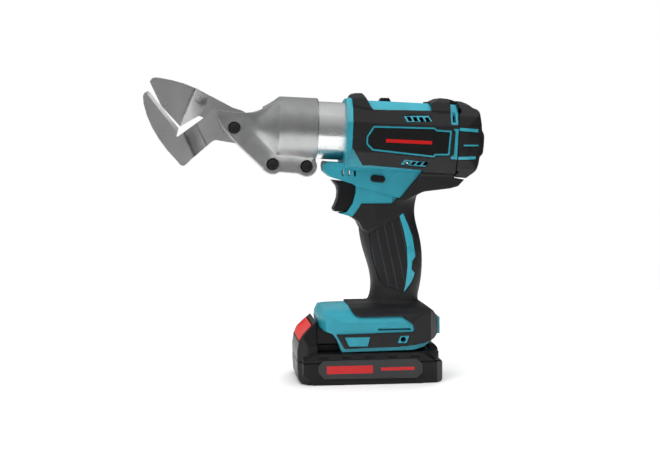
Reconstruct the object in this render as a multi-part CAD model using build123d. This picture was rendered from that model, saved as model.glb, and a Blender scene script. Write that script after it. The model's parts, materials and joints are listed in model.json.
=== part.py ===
from build123d import *
import math
import os

# Cordless sheet-metal shear: pistol body, round gearcase nose, clamped scissor head, slide-on battery.
# Units are millimetres. X runs from the blades (minus) to the rear cap (plus), Z is up, and the
# battery's flat underside lies on Z = 0 with the origin at its centre. The tool's left side is -Y.
# The barrel (motor, gears and head) tilts nose-up, so it is drawn in its own frame and then placed.

BARREL_TILT = 3.0
BARREL_ORIGIN = (-20.0, 0.0, 192.5)
BARREL = Pos(*BARREL_ORIGIN) * Rot(0, BARREL_TILT, 0)

WALL = 2.4              # moulded housing wall
SKIN = 1.6              # soft overmould thickness
FAR = 200.0             # longer than the tool, for cutting blocks
HALF_GAP = 0.05         # half the parting line between the housing halves

TUBE_R = 22.25          # gearcase outside radius
CLAMP_R = 24.7          # head collar outside radius
BEARING_R = 11.0        # 608 ball bearing: 8 x 22 x 7
BEARING_BORE_R = 4.0
BEARING_WIDTH = 7.0

MODULE = 0.6
SUN_TEETH = 12
PLANET_TEETH = 24
RING_TEETH = 60
PRESSURE_ANGLE = 20.0
BACKLASH = 0.13
PLANET_ORBIT = MODULE * (SUN_TEETH + PLANET_TEETH) / 2

PIVOT = (-83.7, -1.0)   # blade pivot in the barrel frame (X, Z)
CRANK_THROW = 1.6
ECCENTRIC_X = -57.5     # middle of the eccentric bearing
ECCENTRIC_R = 6.5       # 695 ball bearing: 5 x 13 x 4
FORK_CLEARANCE = 0.8
BLADE_THICKNESS = 4.0
JAW_OFFSET = 9.0        # how far the cranked jaws stand to the left of their tails


# ---------------------------------------------------------------- helpers

def side_plane(y):
    """Plane parallel to XZ through Y = y, facing the left side."""
    return Plane(origin=(0, y, 0), x_dir=(1, 0, 0), z_dir=(0, -1, 0))


def side_prism(points, y_low, y_high):
    """Prism of an (X, Z) outline between two Y values."""
    face = make_face(side_plane(y_high) * Polyline(*points, close=True))
    return extrude(face, y_high - y_low, dir=(0, -1, 0))


def front_prism(points, x_low, x_high):
    """Prism of a (Y, Z) outline between two X values."""
    plane = Plane(origin=(x_low, 0, 0), x_dir=(0, 1, 0), z_dir=(1, 0, 0))
    face = make_face(plane * Polyline(*points, close=True))
    return extrude(face, x_high - x_low, dir=(1, 0, 0))


def plan_prism(points, z_low, z_high):
    """Prism of an (X, Y) outline between two Z values."""
    plane = Plane(origin=(0, 0, z_low), x_dir=(1, 0, 0), z_dir=(0, 0, 1))
    face = make_face(plane * Polyline(*points, close=True))
    return extrude(face, z_high - z_low, dir=(0, 0, 1))


def block(x_low, x_high, y_low, y_high, z_low, z_high):
    """Rectangular block between limits."""
    size = (x_high - x_low, y_high - y_low, z_high - z_low)
    centre = ((x_low + x_high) / 2, (y_low + y_high) / 2, (z_low + z_high) / 2)
    return Pos(*centre) * Box(*size)


def rod_x(radius, x_low, x_high, y=0.0, z=0.0):
    """Cylinder along X."""
    return Pos((x_low + x_high) / 2, y, z) * Rot(0, 90, 0) * Cylinder(radius, x_high - x_low)


def rod_y(radius, y_low, y_high, x=0.0, z=0.0):
    """Cylinder along Y."""
    return Pos(x, (y_low + y_high) / 2, z) * Rot(90, 0, 0) * Cylinder(radius, y_high - y_low)


def rod_z(radius, z_low, z_high, x=0.0, y=0.0):
    """Cylinder along Z."""
    return Pos(x, y, (z_low + z_high) / 2) * Cylinder(radius, z_high - z_low)


def tube_x(outer, inner, x_low, x_high, y=0.0, z=0.0):
    """Ring along X."""
    return rod_x(outer, x_low, x_high, y, z) - rod_x(inner, x_low - 1, x_high + 1, y, z)


def mirrored(half_points):
    """Closed symmetric outline from the points of its positive half, listed top to bottom."""
    return half_points + [(-y, z) for y, z in reversed(half_points)]


def offset_outline(points, amount):
    """Same outline moved outwards (or inwards when negative) with sharp corners."""
    if amount == 0:
        return points
    turned = points if outline_area(points) > 0 else list(reversed(points))
    count = len(turned)
    moved = []
    for index in range(count):
        before, here, after = turned[index - 1], turned[index], turned[(index + 1) % count]
        normal_in = edge_normal(before, here)
        normal_out = edge_normal(here, after)
        scale = amount / (1 + normal_in[0] * normal_out[0] + normal_in[1] * normal_out[1])
        moved.append((here[0] + scale * (normal_in[0] + normal_out[0]),
                      here[1] + scale * (normal_in[1] + normal_out[1])))
    return moved


def outline_area(points):
    """Signed area of a closed outline."""
    total = 0.0
    for (x0, z0), (x1, z1) in zip(points, points[1:] + points[:1]):
        total += x0 * z1 - x1 * z0
    return total / 2


def edge_normal(start, end):
    """Outward unit normal of one edge of an anticlockwise outline."""
    along = (end[0] - start[0], end[1] - start[1])
    length = math.hypot(*along)
    return along[1] / length, -along[0] / length


def left_half(shape):
    """The part of a shape on the tool's left (-Y)."""
    return shape & block(-FAR, FAR, -FAR, -HALF_GAP, -FAR, 2 * FAR)


def right_half(shape):
    """The part of a shape on the tool's right (+Y)."""
    return shape & block(-FAR, FAR, HALF_GAP, FAR, -FAR, 2 * FAR)


def both_sides(shape):
    """A left-side shape together with its mirror image."""
    return [shape, mirror(shape, about=Plane.XZ)]


def solids_of(*shapes):
    """All the solids in the given shapes, largest first."""
    found = []
    for shape in shapes:
        found.extend(shape.solids())
    return sorted(found, key=lambda solid: -solid.volume)


def main_solid(shape):
    """The largest solid of a shape, without crumbs left by a cut."""
    return solids_of(shape)[0]


def save(name, *shapes):
    """Write one node file holding every solid given."""
    solids = [solid for shape in shapes for solid in shape.solids()]
    node = solids[0] if len(solids) == 1 else Compound(children=solids)
    export_step(node, f"parts/{name}.step")


# ---------------------------------------------------------------- body volumes

BARREL_SIDE = [(1.0, 22.6), (3.0, 24.6), (87.0, 24.6), (87.0, -31.5), (93.0, -32.8), (89.6, -36.8),
               (84.0, -38.6), (63.0, -42.0), (49.0, -50.0), (11.8, -41.8), (-7.8, -35.6),
               (-13.0, -33.6), (-14.3, -26.8), (-10.6, -23.9), (1.0, -24.1)]
BARREL_HALF_SECTION = [(11.0, 24.6), (22.0, 17.0), (27.8, 6.8), (27.8, -14.8), (23.0, -27.0),
                       (17.8, -29.0), (16.4, -60.0)]
NOSE_PLAN = [(-15.0, -11.0), (-8.0, -14.0), (1.0, -16.5), (1.1, -40.0), (120.0, -40.0), (120.0, 40.0),
             (1.1, 40.0), (1.0, 16.5), (-8.0, 14.0), (-15.0, 11.0)]

# Grip sections: height, front X, rear X, half width.
GRIP_SECTIONS = [(146.0, -11.0, 38.0, 16.6), (134.0, -9.5, 36.6, 16.8), (121.0, -7.0, 37.6, 17.2),
                 (107.0, -5.0, 41.0, 17.8), (90.0, -0.2, 42.3, 18.0), (76.0, 2.6, 41.2, 17.6),
                 (62.0, 1.0, 38.6, 17.6), (54.0, -3.0, 42.0, 19.0)]

FOOT_SIDE = [(-20.0, 58.0), (-33.5, 57.4), (-37.0, 56.2), (-40.6, 51.0), (-41.0, 46.5), (-40.0, 41.6),
             (-34.5, 39.6), (-31.0, 38.4), (-28.0, 34.0), (-24.4, 24.8), (31.0, 25.6), (40.0, 27.4),
             (46.0, 31.4), (51.6, 36.0), (51.6, 47.0), (47.0, 53.0), (42.0, 56.2), (36.0, 57.8)]
FOOT_PLAN = [(-41.0, -20.0), (-36.0, -30.0), (-24.0, -34.6), (30.0, -34.6), (44.0, -28.0),
             (51.6, -14.0)]
FOOT_HALF_SECTION = [(15.0, 58.0), (25.0, 55.6), (32.0, 51.5), (34.6, 47.0), (34.6, 24.0)]

# Hooked guard behind and under the trigger.
GUARD_SIDE = [(-22.8, 129.1), (-18.2, 129.8), (-16.6, 131.1), (-12.8, 137.0), (-10.7, 145.1),
              (-10.3, 151.1), (-6.0, 158.0), (17.3, 158.0), (17.3, 130.0), (-2.0, 116.0),
              (-5.2, 118.0), (-7.4, 122.5), (-11.8, 126.2)]
GUARD_HALF_PLAN = [(-24.0, 9.0), (-14.0, 12.6), (-6.0, 14.6), (4.0, 16.0), (20.0, 16.0)]


def upper_body(grow):
    """Barrel and underbelly volume in the barrel frame, grown or shrunk by an amount."""
    side = side_prism(offset_outline(BARREL_SIDE, grow), -FAR / 2, FAR / 2)
    section = front_prism(offset_outline(mirrored(BARREL_HALF_SECTION), grow), -FAR, FAR)
    plan = plan_prism(offset_outline(NOSE_PLAN, grow), -FAR / 2, FAR / 2)
    return side & section & plan


def grip(grow):
    """Smooth hand grip lofted through rounded sections."""
    sections = []
    for height, front, rear, half_width in GRIP_SECTIONS:
        depth = (rear - front) / 2 + grow - SKIN
        width = half_width + grow - SKIN
        plane = Plane(origin=((front + rear) / 2, 0, height), x_dir=(1, 0, 0), z_dir=(0, 0, 1))
        sections.append(plane * RectangleRounded(2 * depth, 2 * width, 0.8 * width))
    return loft(sections)


def foot(grow):
    """Battery foot volume."""
    plan = FOOT_PLAN + [(x, -y) for x, y in reversed(FOOT_PLAN)]
    section = offset_outline(mirrored(FOOT_HALF_SECTION), grow)
    side = side_prism(offset_outline(FOOT_SIDE, grow), -FAR / 2, FAR / 2)
    return side & plan_prism(offset_outline(plan, grow), -FAR, FAR) & front_prism(section, -FAR, FAR)


def guard(grow):
    """Trigger guard volume, widening from its tip back into the grip."""
    plan = [(x, -y) for x, y in GUARD_HALF_PLAN] + list(reversed(GUARD_HALF_PLAN))
    side = side_prism(offset_outline(GUARD_SIDE, grow), -FAR / 2, FAR / 2)
    return side & plan_prism(offset_outline(plan, grow), 0, FAR)


def body_volume(grow):
    """Whole body core in the tool frame."""
    return BARREL * upper_body(grow) + grip(grow) + guard(grow) + foot(grow)


# ---------------------------------------------------------------- armour outlines

BUMPER_SIDE = [(5.5, 20.0), (5.5, 28.0), (7.2, 29.8), (13.3, 30.1), (14.8, 28.2), (20.4, 17.4)]
HUMP_SIDE = [(66.0, 18.8), (66.0, 24.9), (73.5, 29.2), (82.4, 28.7), (86.9, 27.6), (86.9, 18.0)]
RIDGE_HALF_SECTION = [(11.0, 30.2), (20.0, 26.0), (29.6, 7.2), (29.6, 0.0)]
ARMOUR_REGION = [(5.5, 40.0), (17.0, 40.0), (17.0, 25.0), (20.8, 17.6), (66.3, 19.0), (66.3, 22.0),
                 (64.5, 26.0), (64.5, 40.0), (86.9, 40.0), (86.9, -31.8), (110.0, -34.4),
                 (110.0, -60.0), (37.5, -60.0), (62.0, -27.0), (20.3, -24.9), (14.6, -25.2),
                 (5.5, -12.2)]
GRIP_REGION = [(17.0, 137.0), (-6.6, 137.2), (-9.5, 132.4), (-14.0, 126.3), (-60.0, 120.0),
               (-60.0, 75.0), (-17.2, 75.0), (-17.2, 58.6), (-16.0, 55.1), (-13.4, 52.0),
               (-9.3, 51.0), (21.8, 51.3), (30.6, 44.6), (31.6, 39.6), (-28.6, 38.4),
               (-22.6, 27.4), (20.0, 28.2), (40.0, 30.0), (58.0, 34.0), (70.0, 40.0), (70.0, 152.0),
               (31.0, 152.0)]
TEAL_WINDOW = [(-22.5, 36.3), (-2.7, 36.2), (-4.7, 29.0), (-19.1, 29.2)]
TEAL_DIAMOND = [(18.1, 31.0), (20.4, 36.6), (27.4, 36.6), (25.2, 31.0)]
HOOK_HOLE = (22.7, 33.8)
REAR_TAB = Pos(51.0, 0, 41.2) * Box(8.0, 26.0, 13.0)
FOOT_GROOVE = [(3.4, 40.8), (28.4, 40.8), (28.4, 42.4), (3.4, 42.4)]
FOOT_GROOVE_Y = 31.4

PLATE_FRAME = [(16.0, -3.0), (21.0, 5.2), (68.0, 6.2), (70.0, 4.6), (81.4, 4.4), (80.6, -14.6),
               (69.8, -15.2), (68.6, -16.8), (21.0, -13.6), (16.0, -9.0)]
UPPER_VENT = [(44.1, 13.8), (63.6, 15.0), (66.3, 10.6), (46.9, 9.3)]
LOWER_VENT = [(43.4, -23.4), (46.3, -19.2), (65.0, -20.7), (62.9, -24.2)]
BRACKET = [(82.0, 6.0), (86.6, 6.0), (86.6, -17.6), (81.6, -17.6), (81.6, -15.4), (83.8, -14.0),
           (84.2, 3.4)]
SLOT_FRAME = (80.8, 86.4, 9.0)      # rear slot in the armour: X limits and lower end
SLOT_VENT = (82.4, 84.9, 10.6)      # open slot inside that frame
DASH = [(5.4, -4.0), (12.7, -4.3), (12.7, -5.3), (5.4, -5.0)]
CREASES = [[(66.4, 13.7), (71.8, 8.6), (80.0, 6.6)], [(63.3, -23.6), (67.9, -19.5), (69.6, -16.8)],
           [(21.0, 7.4), (13.6, 0.8), (13.4, -9.8), (20.5, -16.2)]]
CREASE_WIDTH = 0.8
CREASE_Y = 28.7
INSERT_REGION = [(-0.2, 113.5), (22.6, 127.0), (26.0, 114.6), (28.2, 102.7), (28.6, 89.0),
                 (27.3, 75.3), (25.6, 67.8), (16.8, 71.6), (12.0, 73.2), (7.9, 76.8), (2.2, 95.3)]
ACCENT_REGION = [(22.9, 127.0), (25.6, 129.2), (28.8, 122.2), (33.1, 110.9), (35.4, 95.6),
                 (32.7, 91.9), (32.1, 85.7), (34.9, 82.4), (32.6, 76.4), (26.0, 67.9),
                 (27.6, 75.2), (28.9, 89.0), (28.5, 102.8), (26.4, 114.7)]


def ridge_blocks():
    """Front bumper and rear hump that stand above the barrel, in the barrel frame."""
    section = front_prism(mirrored(RIDGE_HALF_SECTION), -FAR, FAR)
    ridges = side_prism(BUMPER_SIDE, -FAR / 2, FAR / 2) + side_prism(HUMP_SIDE, -FAR / 2, FAR / 2)
    return ridges & section


def armour_volume():
    """Outer skin of the body wherever the black overmould lies."""
    barrel_skin = (upper_body(SKIN) + ridge_blocks()) & side_prism(ARMOUR_REGION, -FAR / 2, FAR / 2)
    lower_skin = grip(SKIN) + guard(SKIN / 2) + foot(SKIN)
    lower_skin &= side_prism(GRIP_REGION, -FAR / 2, FAR / 2)
    return BARREL * barrel_skin + lower_skin


def crease(start, end):
    """Narrow groove in the barrel's side between two (X, Z) points."""
    along_x, along_z = end[0] - start[0], end[1] - start[1]
    reach = CREASE_WIDTH / 2 / math.hypot(along_x, along_z)
    aside = (-along_z * reach, along_x * reach)
    outline = [(start[0] + aside[0], start[1] + aside[1]), (end[0] + aside[0], end[1] + aside[1]),
               (end[0] - aside[0], end[1] - aside[1]), (start[0] - aside[0], start[1] - aside[1])]
    return side_prism(outline, -FAR / 2, -CREASE_Y)


def armour_cuts():
    """Openings through the overmould where plates, vents and teal details show."""
    barrel_cuts = []
    for outline in (PLATE_FRAME, UPPER_VENT, LOWER_VENT, BRACKET, DASH):
        barrel_cuts.append(side_prism(outline, -FAR / 2, -15.0))
    for line in CREASES:
        for start, end in zip(line, line[1:]):
            barrel_cuts.append(crease(start, end))
    x_low, x_high, z_low = SLOT_FRAME
    barrel_cuts.append(block(x_low, x_high, -FAR / 2, -8.0, z_low, 40.0))
    cuts = [BARREL * cut for cut in barrel_cuts]
    cuts += [side_prism(TEAL_WINDOW, -FAR / 2, -30.0), side_prism(TEAL_DIAMOND, -FAR / 2, -20.0)]
    cuts += [side_prism(offset_outline(INSERT_REGION, 0.1), -FAR / 2, -8.0),
             side_prism(offset_outline(ACCENT_REGION, 0.1), -FAR / 2, -8.0)]
    return [side for cut in cuts for side in both_sides(cut)]


def teal_pads():
    """Raised parts of the housing that fill the overmould's openings, in the tool frame."""
    skin = upper_body(SKIN - 0.3)
    pads = []
    for outline in (PLATE_FRAME, UPPER_VENT, LOWER_VENT, BRACKET, DASH):
        pads.append(BARREL * (skin & side_prism(offset_outline(outline, -0.1), -FAR / 2, -15.0)))
    foot_skin = foot(SKIN - 0.3)
    for outline in (TEAL_WINDOW, TEAL_DIAMOND):
        pads.append(foot_skin & side_prism(offset_outline(outline, -0.1), -FAR / 2, -20.0))
    return [side for pad in pads for side in both_sides(pad)] + [REAR_TAB]


# ---------------------------------------------------------------- housing

SCREW_SPOTS = [(6.0, 166.0), (60.0, 155.0), (33.5, 120.0), (9.0, 62.0), (-30.0, 53.5), (40.0, 50.0)]
SCREW_R = 1.5
SCREW_HEAD_R = 2.7
SCREW_HEAD_Y = 9.0      # underside of the screw heads, on the right
BOSS_R = 3.8
TRIGGER_HALF_WIDTH = 8.5
BUTTON_SPOT = (5.9, 156.0)
BUTTON_HALF = (5.5, 2.4)
SLIDER_SLOT = (24.0, 52.0, 6.2)     # X limits and half width of the slider's recess
MOTOR_MOUTH_R = 19.3
RAIL_NECK = 22.0
RAIL_HEAD = 25.6
RAIL_LEDGE_Z = 29.6
RAIL_TOP_Z = 42.0
RAIL_END_X = 42.0


def cavity():
    """Everything hollow inside the housing, in the tool frame."""
    inner_foot = foot(-WALL) & block(-FAR, FAR, -FAR, FAR, RAIL_TOP_Z + WALL, FAR)
    hollow = BARREL * (upper_body(-WALL) & block(4.0, 120.0, -FAR, FAR, -FAR, FAR))
    hollow += BARREL * (upper_body(-WALL) & block(-12.0, 4.5, -FAR, FAR, -60.0, -27.0))
    switch_room = block(-3.0, 30.0, -12.0, 12.0, 138.0, 153.0)
    terminal_room = block(-2.1, 30.1, -18.1, 18.1, RAIL_TOP_Z - 1, RAIL_TOP_Z + 8)
    rear_mouth = BARREL * rod_x(MOTOR_MOUTH_R, 80.0, 90.0)
    return hollow + grip(-WALL) + inner_foot + switch_room + terminal_room + rear_mouth


def rail_slot():
    """T-shaped channel under the foot that takes the battery's rails, open at the front."""
    neck = block(-FAR, RAIL_END_X, -RAIL_NECK, RAIL_NECK, 0, RAIL_LEDGE_Z + 1)
    head = block(-FAR, RAIL_END_X, -RAIL_HEAD, RAIL_HEAD, RAIL_LEDGE_Z, RAIL_TOP_Z)
    return neck + head


def trigger_channel():
    """Space the trigger slides in, with the open finger side."""
    window = [(-40.0, 166.0), (-40.0, 130.0), (-22.8, 129.6), (-17.9, 130.2), (-12.8, 137.0),
              (-10.6, 145.0), (-11.2, 150.6), (-13.3, 152.1), (-29.8, 157.4)]
    side_open = side_prism(window, -FAR, FAR)
    half = TRIGGER_HALF_WIDTH + 0.5
    middle = block(-30.0, 3.0, -half, half, 129.8, 157.0) + block(-40.0, -29.0, -half, half, 129.8, 152.6)
    return side_open + middle


def vent_slots():
    """Four slanted slots through each framed vent, in the barrel frame."""
    slots = []
    for index in range(4):
        x = 48.2 + 4.7 * index
        upper = [(x - 2.1, 13.4), (x + 1.1, 13.6), (x + 2.9, 10.2), (x - 0.3, 9.9)]
        lower = [(x - 2.3, -23.0), (x + 0.9, -23.3), (x + 3.1, -20.7), (x - 0.1, -20.4)]
        slots.append(side_prism(upper, -FAR / 2, -15.0))
        slots.append(side_prism(lower, -FAR / 2, -15.0))
    for index in range(3):
        slots.append(side_prism(lip_slot(index), -FAR / 2, -10.0))
    x_low, x_high, z_low = SLOT_VENT
    slots.append(block(x_low, x_high, -FAR / 2, -19.8, z_low, 21.5))
    return [side for slot in slots for side in both_sides(slot)]


def lip_slot(index):
    """One short upright slot in the nose lip."""
    x = 0.4 + 4.7 * index
    z = -31.6 - 0.1 * index
    return [(x - 0.9, z + 2.1), (x + 0.7, z + 2.1), (x + 1.1, z - 2.1), (x - 0.5, z - 2.1)]


def stadium(centre, half_length, half_height, tilt, y_low, y_high):
    """Round-ended bar through Y with its long axis tilted from X."""
    shape = SlotOverall(2 * half_length, 2 * half_height)
    solid = extrude(side_plane(y_high) * shape, y_high - y_low)
    return Pos(centre[0], 0, centre[1]) * Rot(0, tilt, 0) * solid


def motor_ribs():
    """Cradle ribs that hold the motor and the gearcase, in the barrel frame."""
    inner = upper_body(-WALL + 0.4)
    ribs = None
    for x in (56.0, 78.0):
        rib = inner & block(x, x + 2.0, -FAR, FAR, -25.0, FAR)
        ribs = rib if ribs is None else ribs + rib
    return ribs - rod_x(18.9, 0, 100)


def flange_ring():
    """Raised nose ring where the gearcase comes out, in the barrel frame."""
    outline = [(1.0, 22.8), (2.4, 25.6), (4.3, 26.2), (5.4, 25.0), (5.4, -12.0), (1.0, -25.0)]
    section = offset_outline(mirrored(BARREL_HALF_SECTION), 1.5)
    return side_prism(outline, -FAR / 2, FAR / 2) & front_prism(section, -FAR, FAR)


def housing():
    """Both housing halves before the parting cut."""
    shell = body_volume(0)
    for pad in teal_pads():
        shell += pad
    shell += BARREL * flange_ring()
    shell -= cavity()
    shell += BARREL * motor_ribs()
    for x, z in SCREW_SPOTS:
        shell += rod_y(BOSS_R, -30.0, 30.0, x, z) & body_volume(-0.5)
    shell -= rail_slot()
    shell -= trigger_channel()
    shell -= BARREL * rod_x(TUBE_R + 0.1, -60, 30)
    for slot in vent_slots():
        shell -= BARREL * slot
    for side in both_sides(side_prism(offset_outline(PLATE_FRAME, -1.3), -FAR / 2, -28.0)):
        shell -= BARREL * side
    shell -= stadium(BUTTON_SPOT, BUTTON_HALF[0] + 0.3, BUTTON_HALF[1] + 0.3, 5.0, -30, 30)
    x_low, x_high, half = SLIDER_SLOT
    shell -= BARREL * block(x_low, x_high, -half, half, 19.0, 40.0)
    for side in both_sides(side_prism(FOOT_GROOVE, -FAR / 2, -FOOT_GROOVE_Y)):
        shell -= side
    shell -= rod_y(2.1, -60, -24, *HOOK_HOLE)
    shell -= rod_y(2.1, 24, 60, *HOOK_HOLE)
    for x, z in SCREW_SPOTS:
        shell -= rod_y(SCREW_R + 0.2, -SCREW_HEAD_Y, SCREW_HEAD_Y + 0.1, x, z)
        shell -= rod_y(SCREW_HEAD_R + 0.2, SCREW_HEAD_Y, 60.0, x, z)
    shell -= BARREL * led_pocket()
    return shell


LIGHT_SEAT = Pos(-12.2, 0, -26.2) * Rot(0, -45, 0)


def led_pocket():
    """Bore for the work light in the nose lip."""
    return LIGHT_SEAT * Cylinder(2.4, 12)


def overmoulds(core):
    """The two halves of the soft black overmould."""
    skin = armour_volume() - core
    for cut in armour_cuts():
        skin -= cut
    skin -= rail_slot()
    skin -= trigger_channel()
    skin -= BARREL * rod_x(TUBE_R + 0.1, -60, 30)
    for x, z in SCREW_SPOTS:
        skin -= rod_y(SCREW_HEAD_R + 0.5, SCREW_HEAD_Y - 0.3, 60.0, x, z)
        skin -= rod_y(SCREW_R + 0.3, -SCREW_HEAD_Y, SCREW_HEAD_Y, x, z)
    return main_solid(left_half(skin)), main_solid(right_half(skin))


def skin_insert(region, grow, y_reach=-8.0):
    """Separate inlay that fills a window of the grip's overmould, both sides."""
    inlay = (grip(grow) - grip(0.05)) & side_prism(region, -FAR, y_reach)
    return both_sides(main_solid(inlay))


def grip_inserts():
    """Ribbed inserts: three shallow curved grooves in each."""
    left = skin_insert(INSERT_REGION, SKIN - 0.2)[0]
    for x in (4.2, 10.0, 16.4):
        groove_line = ThreePointArc((x, 0, 118 + 0.6 * (x - 4)), (x + 6.6, 0, 95.0), (x + 7.4, 0, 68.0))
        profile = Plane(origin=groove_line @ 0, z_dir=groove_line % 0) * Rectangle(60, 0.7)
        groove = sweep(profile, path=groove_line)
        left -= groove - grip(SKIN - 0.6)
    return both_sides(main_solid(left))


def name_plates():
    """Flush glossy plates in the barrel sides; they carry no lettering."""
    plate = upper_body(SKIN - 0.6) & side_prism(offset_outline(PLATE_FRAME, -1.4), -FAR / 2, -28.1)
    return [BARREL * side for side in both_sides(main_solid(plate))]


CAP_SIDE = [(87.1, 27.6), (90.7, 27.4), (94.0, 26.0), (98.4, 22.6), (101.8, 21.5), (103.3, 19.9),
            (106.1, 10.5), (106.6, 6.0), (108.8, 3.3), (109.5, 1.0), (109.5, -5.0), (109.0, -11.0),
            (108.4, -12.6), (105.6, -15.0), (104.8, -20.1), (103.4, -23.8), (101.2, -26.9),
            (96.0, -31.6), (87.1, -31.2)]
CAP_HALF_SECTION = [(10.0, 27.8), (20.0, 24.5), (26.0, 16.0), (29.4, 6.8), (29.4, -15.0),
                    (26.0, -25.0), (20.0, -33.0)]
CAP_PLAN = [(87.1, -29.4), (95.0, -29.0), (102.4, -26.0), (109.5, -17.0)]


def cap_volume(grow):
    """Rear cap volume in the barrel frame."""
    plan = CAP_PLAN + [(x, -y) for x, y in reversed(CAP_PLAN)]
    side = side_prism(offset_outline(CAP_SIDE, grow), -FAR / 2, FAR / 2)
    section = front_prism(offset_outline(mirrored(CAP_HALF_SECTION), grow), 0, FAR)
    return side & section & plan_prism(offset_outline(plan, grow), -FAR / 2, FAR / 2)


def cap_bars():
    """Left-side teal bars set in the rear cap, in the barrel frame."""
    bars = [[(87.4, 6.9), (102.4, 6.4), (102.4, 4.0), (87.4, 4.5)],
            [(87.4, -15.4), (101.4, -14.4), (101.4, -16.6), (87.4, -17.6)],
            [(91.1, -6.0), (103.8, -5.4), (103.8, -6.5), (91.1, -7.1)]]
    return [side_prism(bar, -FAR / 2, -12.0) for bar in bars]


def rear_cap():
    """Rear cap with its teal bars as separate inlays."""
    cap = cap_volume(0) - (cap_volume(-WALL) & block(80, 130, -FAR, FAR, -FAR, FAR))
    cap -= block(80.0, 89.0, -24.5, 24.5, -28.0, 22.0)
    trims = []
    for bar in cap_bars():
        inlay = (cap_volume(0.1) - cap_volume(-0.8)) & bar
        for side in both_sides(main_solid(inlay)):
            cap -= side
            trims.append(BARREL * side)
    return BARREL * main_solid(cap), trims


# ---------------------------------------------------------------- gear train

def involute_outline(teeth, outer_r, root_r, half_tooth):
    """Closed gear outline; half_tooth is half the tooth's angle at the pitch circle."""
    pitch_r = MODULE * teeth / 2
    base_r = pitch_r * math.cos(math.radians(PRESSURE_ANGLE))
    pitch_inv = math.tan(math.radians(PRESSURE_ANGLE)) - math.radians(PRESSURE_ANGLE)
    start_r = max(base_r, root_r)
    flank = []
    for step in range(4):
        radius = start_r + (outer_r - start_r) * step / 3
        roll = math.acos(min(1.0, base_r / radius))
        angle = half_tooth + pitch_inv - (math.tan(roll) - roll)
        flank.append((radius, angle))
    points = []
    for tooth in range(teeth):
        middle = 2 * math.pi * tooth / teeth
        side = [(root_r, flank[0][1])] if root_r < start_r else []
        rising = [(r, middle - a) for r, a in side + flank]
        falling = [(r, middle + a) for r, a in reversed(side + flank)]
        points += [(r * math.cos(a), r * math.sin(a)) for r, a in rising + falling]
    return points


def half_tooth_angle(teeth, thinning):
    """Half the tooth angle at the pitch circle, thinned for backlash."""
    pitch_r = MODULE * teeth / 2
    return (math.pi * MODULE / 2 - thinning) / (2 * pitch_r)


def spur_gear(teeth, x_low, x_high):
    """External gear about the X axis with a tooth pointing along +Y."""
    pitch_r = MODULE * teeth / 2
    outline = involute_outline(teeth, pitch_r + MODULE * 0.95, pitch_r - 1.25 * MODULE,
                               half_tooth_angle(teeth, BACKLASH))
    return front_prism(outline, x_low, x_high)


def pinion():
    """Sun pinion pressed on the motor shaft."""
    return BARREL * (spur_gear(SUN_TEETH, 15.9, 25.6) - rod_x(1.59, 10, 30))


def planet_gear(index):
    """One planet gear, turned so its gaps face the sun's and the ring's teeth."""
    gear = spur_gear(PLANET_TEETH, 16.2, 24.8) - rod_x(2.05, 10, 30)
    angle = 120 * index
    tooth = 360 / PLANET_TEETH / 2
    centre_y = PLANET_ORBIT * math.cos(math.radians(angle))
    centre_z = PLANET_ORBIT * math.sin(math.radians(angle))
    return BARREL * Pos(0, centre_y, centre_z) * Rot(angle + tooth, 0, 0) * gear


def ring_gear():
    """Internal gear fixed in the gearcase."""
    pitch_r = MODULE * RING_TEETH / 2
    cutter = involute_outline(RING_TEETH, pitch_r + 1.25 * MODULE, pitch_r - 0.8 * MODULE,
                              half_tooth_angle(RING_TEETH, -BACKLASH / 2))
    teeth = Rot(360 / RING_TEETH / 2, 0, 0) * front_prism(cutter, 10, 30)
    return BARREL * (rod_x(21.0, 15.6, 25.4) - teeth)


def planet_spots():
    """Planet centres as (Y, Z) pairs."""
    angles = [math.radians(120 * index) for index in range(3)]
    return [(PLANET_ORBIT * math.cos(a), PLANET_ORBIT * math.sin(a)) for a in angles]


SPINDLE_END_X = -40.4


def planet_carrier():
    """Carrier disc with the output spindle in one piece."""
    carrier = rod_x(15.5, 13.0, 15.6) + rod_x(BEARING_BORE_R, SPINDLE_END_X, 13.2)
    carrier += rod_x(5.6, -28.9, 4.9)
    for y, z in planet_spots():
        carrier -= rod_x(2.0, 10, 20, y, z)
    return BARREL * main_solid(carrier)


def planet_pins():
    """Three pins the planets turn on."""
    return [BARREL * rod_x(2.0, 13.0, 25.4, y, z) for y, z in planet_spots()]


def gearcase():
    """Aluminium nose tube with its two bearing walls."""
    case = tube_x(TUBE_R, 19.6, -44.0, 27.4)
    case += tube_x(20.0, BEARING_R, -36.0, -29.0) + tube_x(20.0, BEARING_R, 5.0, 12.0)
    case -= rod_x(21.0, 12.5, 40.0)
    for x in (-29.0, 4.0):
        case += tube_x(20.0, 8.0, x, x + 1.0)
    for sign in (-1, 1):
        case += block(16.0, 24.0, sign * 22.9 - 1.0, sign * 22.9 + 1.0, -4.0, 4.0)
    return BARREL * case


def ball_bearing(outer_r, bore_r, x_low, x_high):
    """Closed bearing drawn as one ring with the shield grooves on both faces."""
    ring = tube_x(outer_r, bore_r, x_low, x_high)
    middle = (outer_r + bore_r) / 2
    groove = (outer_r - bore_r) / 5
    for x in (x_low, x_high):
        ring -= tube_x(middle + groove, middle - groove, x - 0.3, x + 0.3)
    return ring


def motor_plate():
    """Plate that centres the motor on the gearcase."""
    plate = tube_x(22.2, 6.5, 27.5, 30.9)
    for y, z in ((-9.0, 0.0), (9.0, 0.0)):
        plate -= rod_x(1.6, 20, 40, y, z)
    return BARREL * plate


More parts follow.
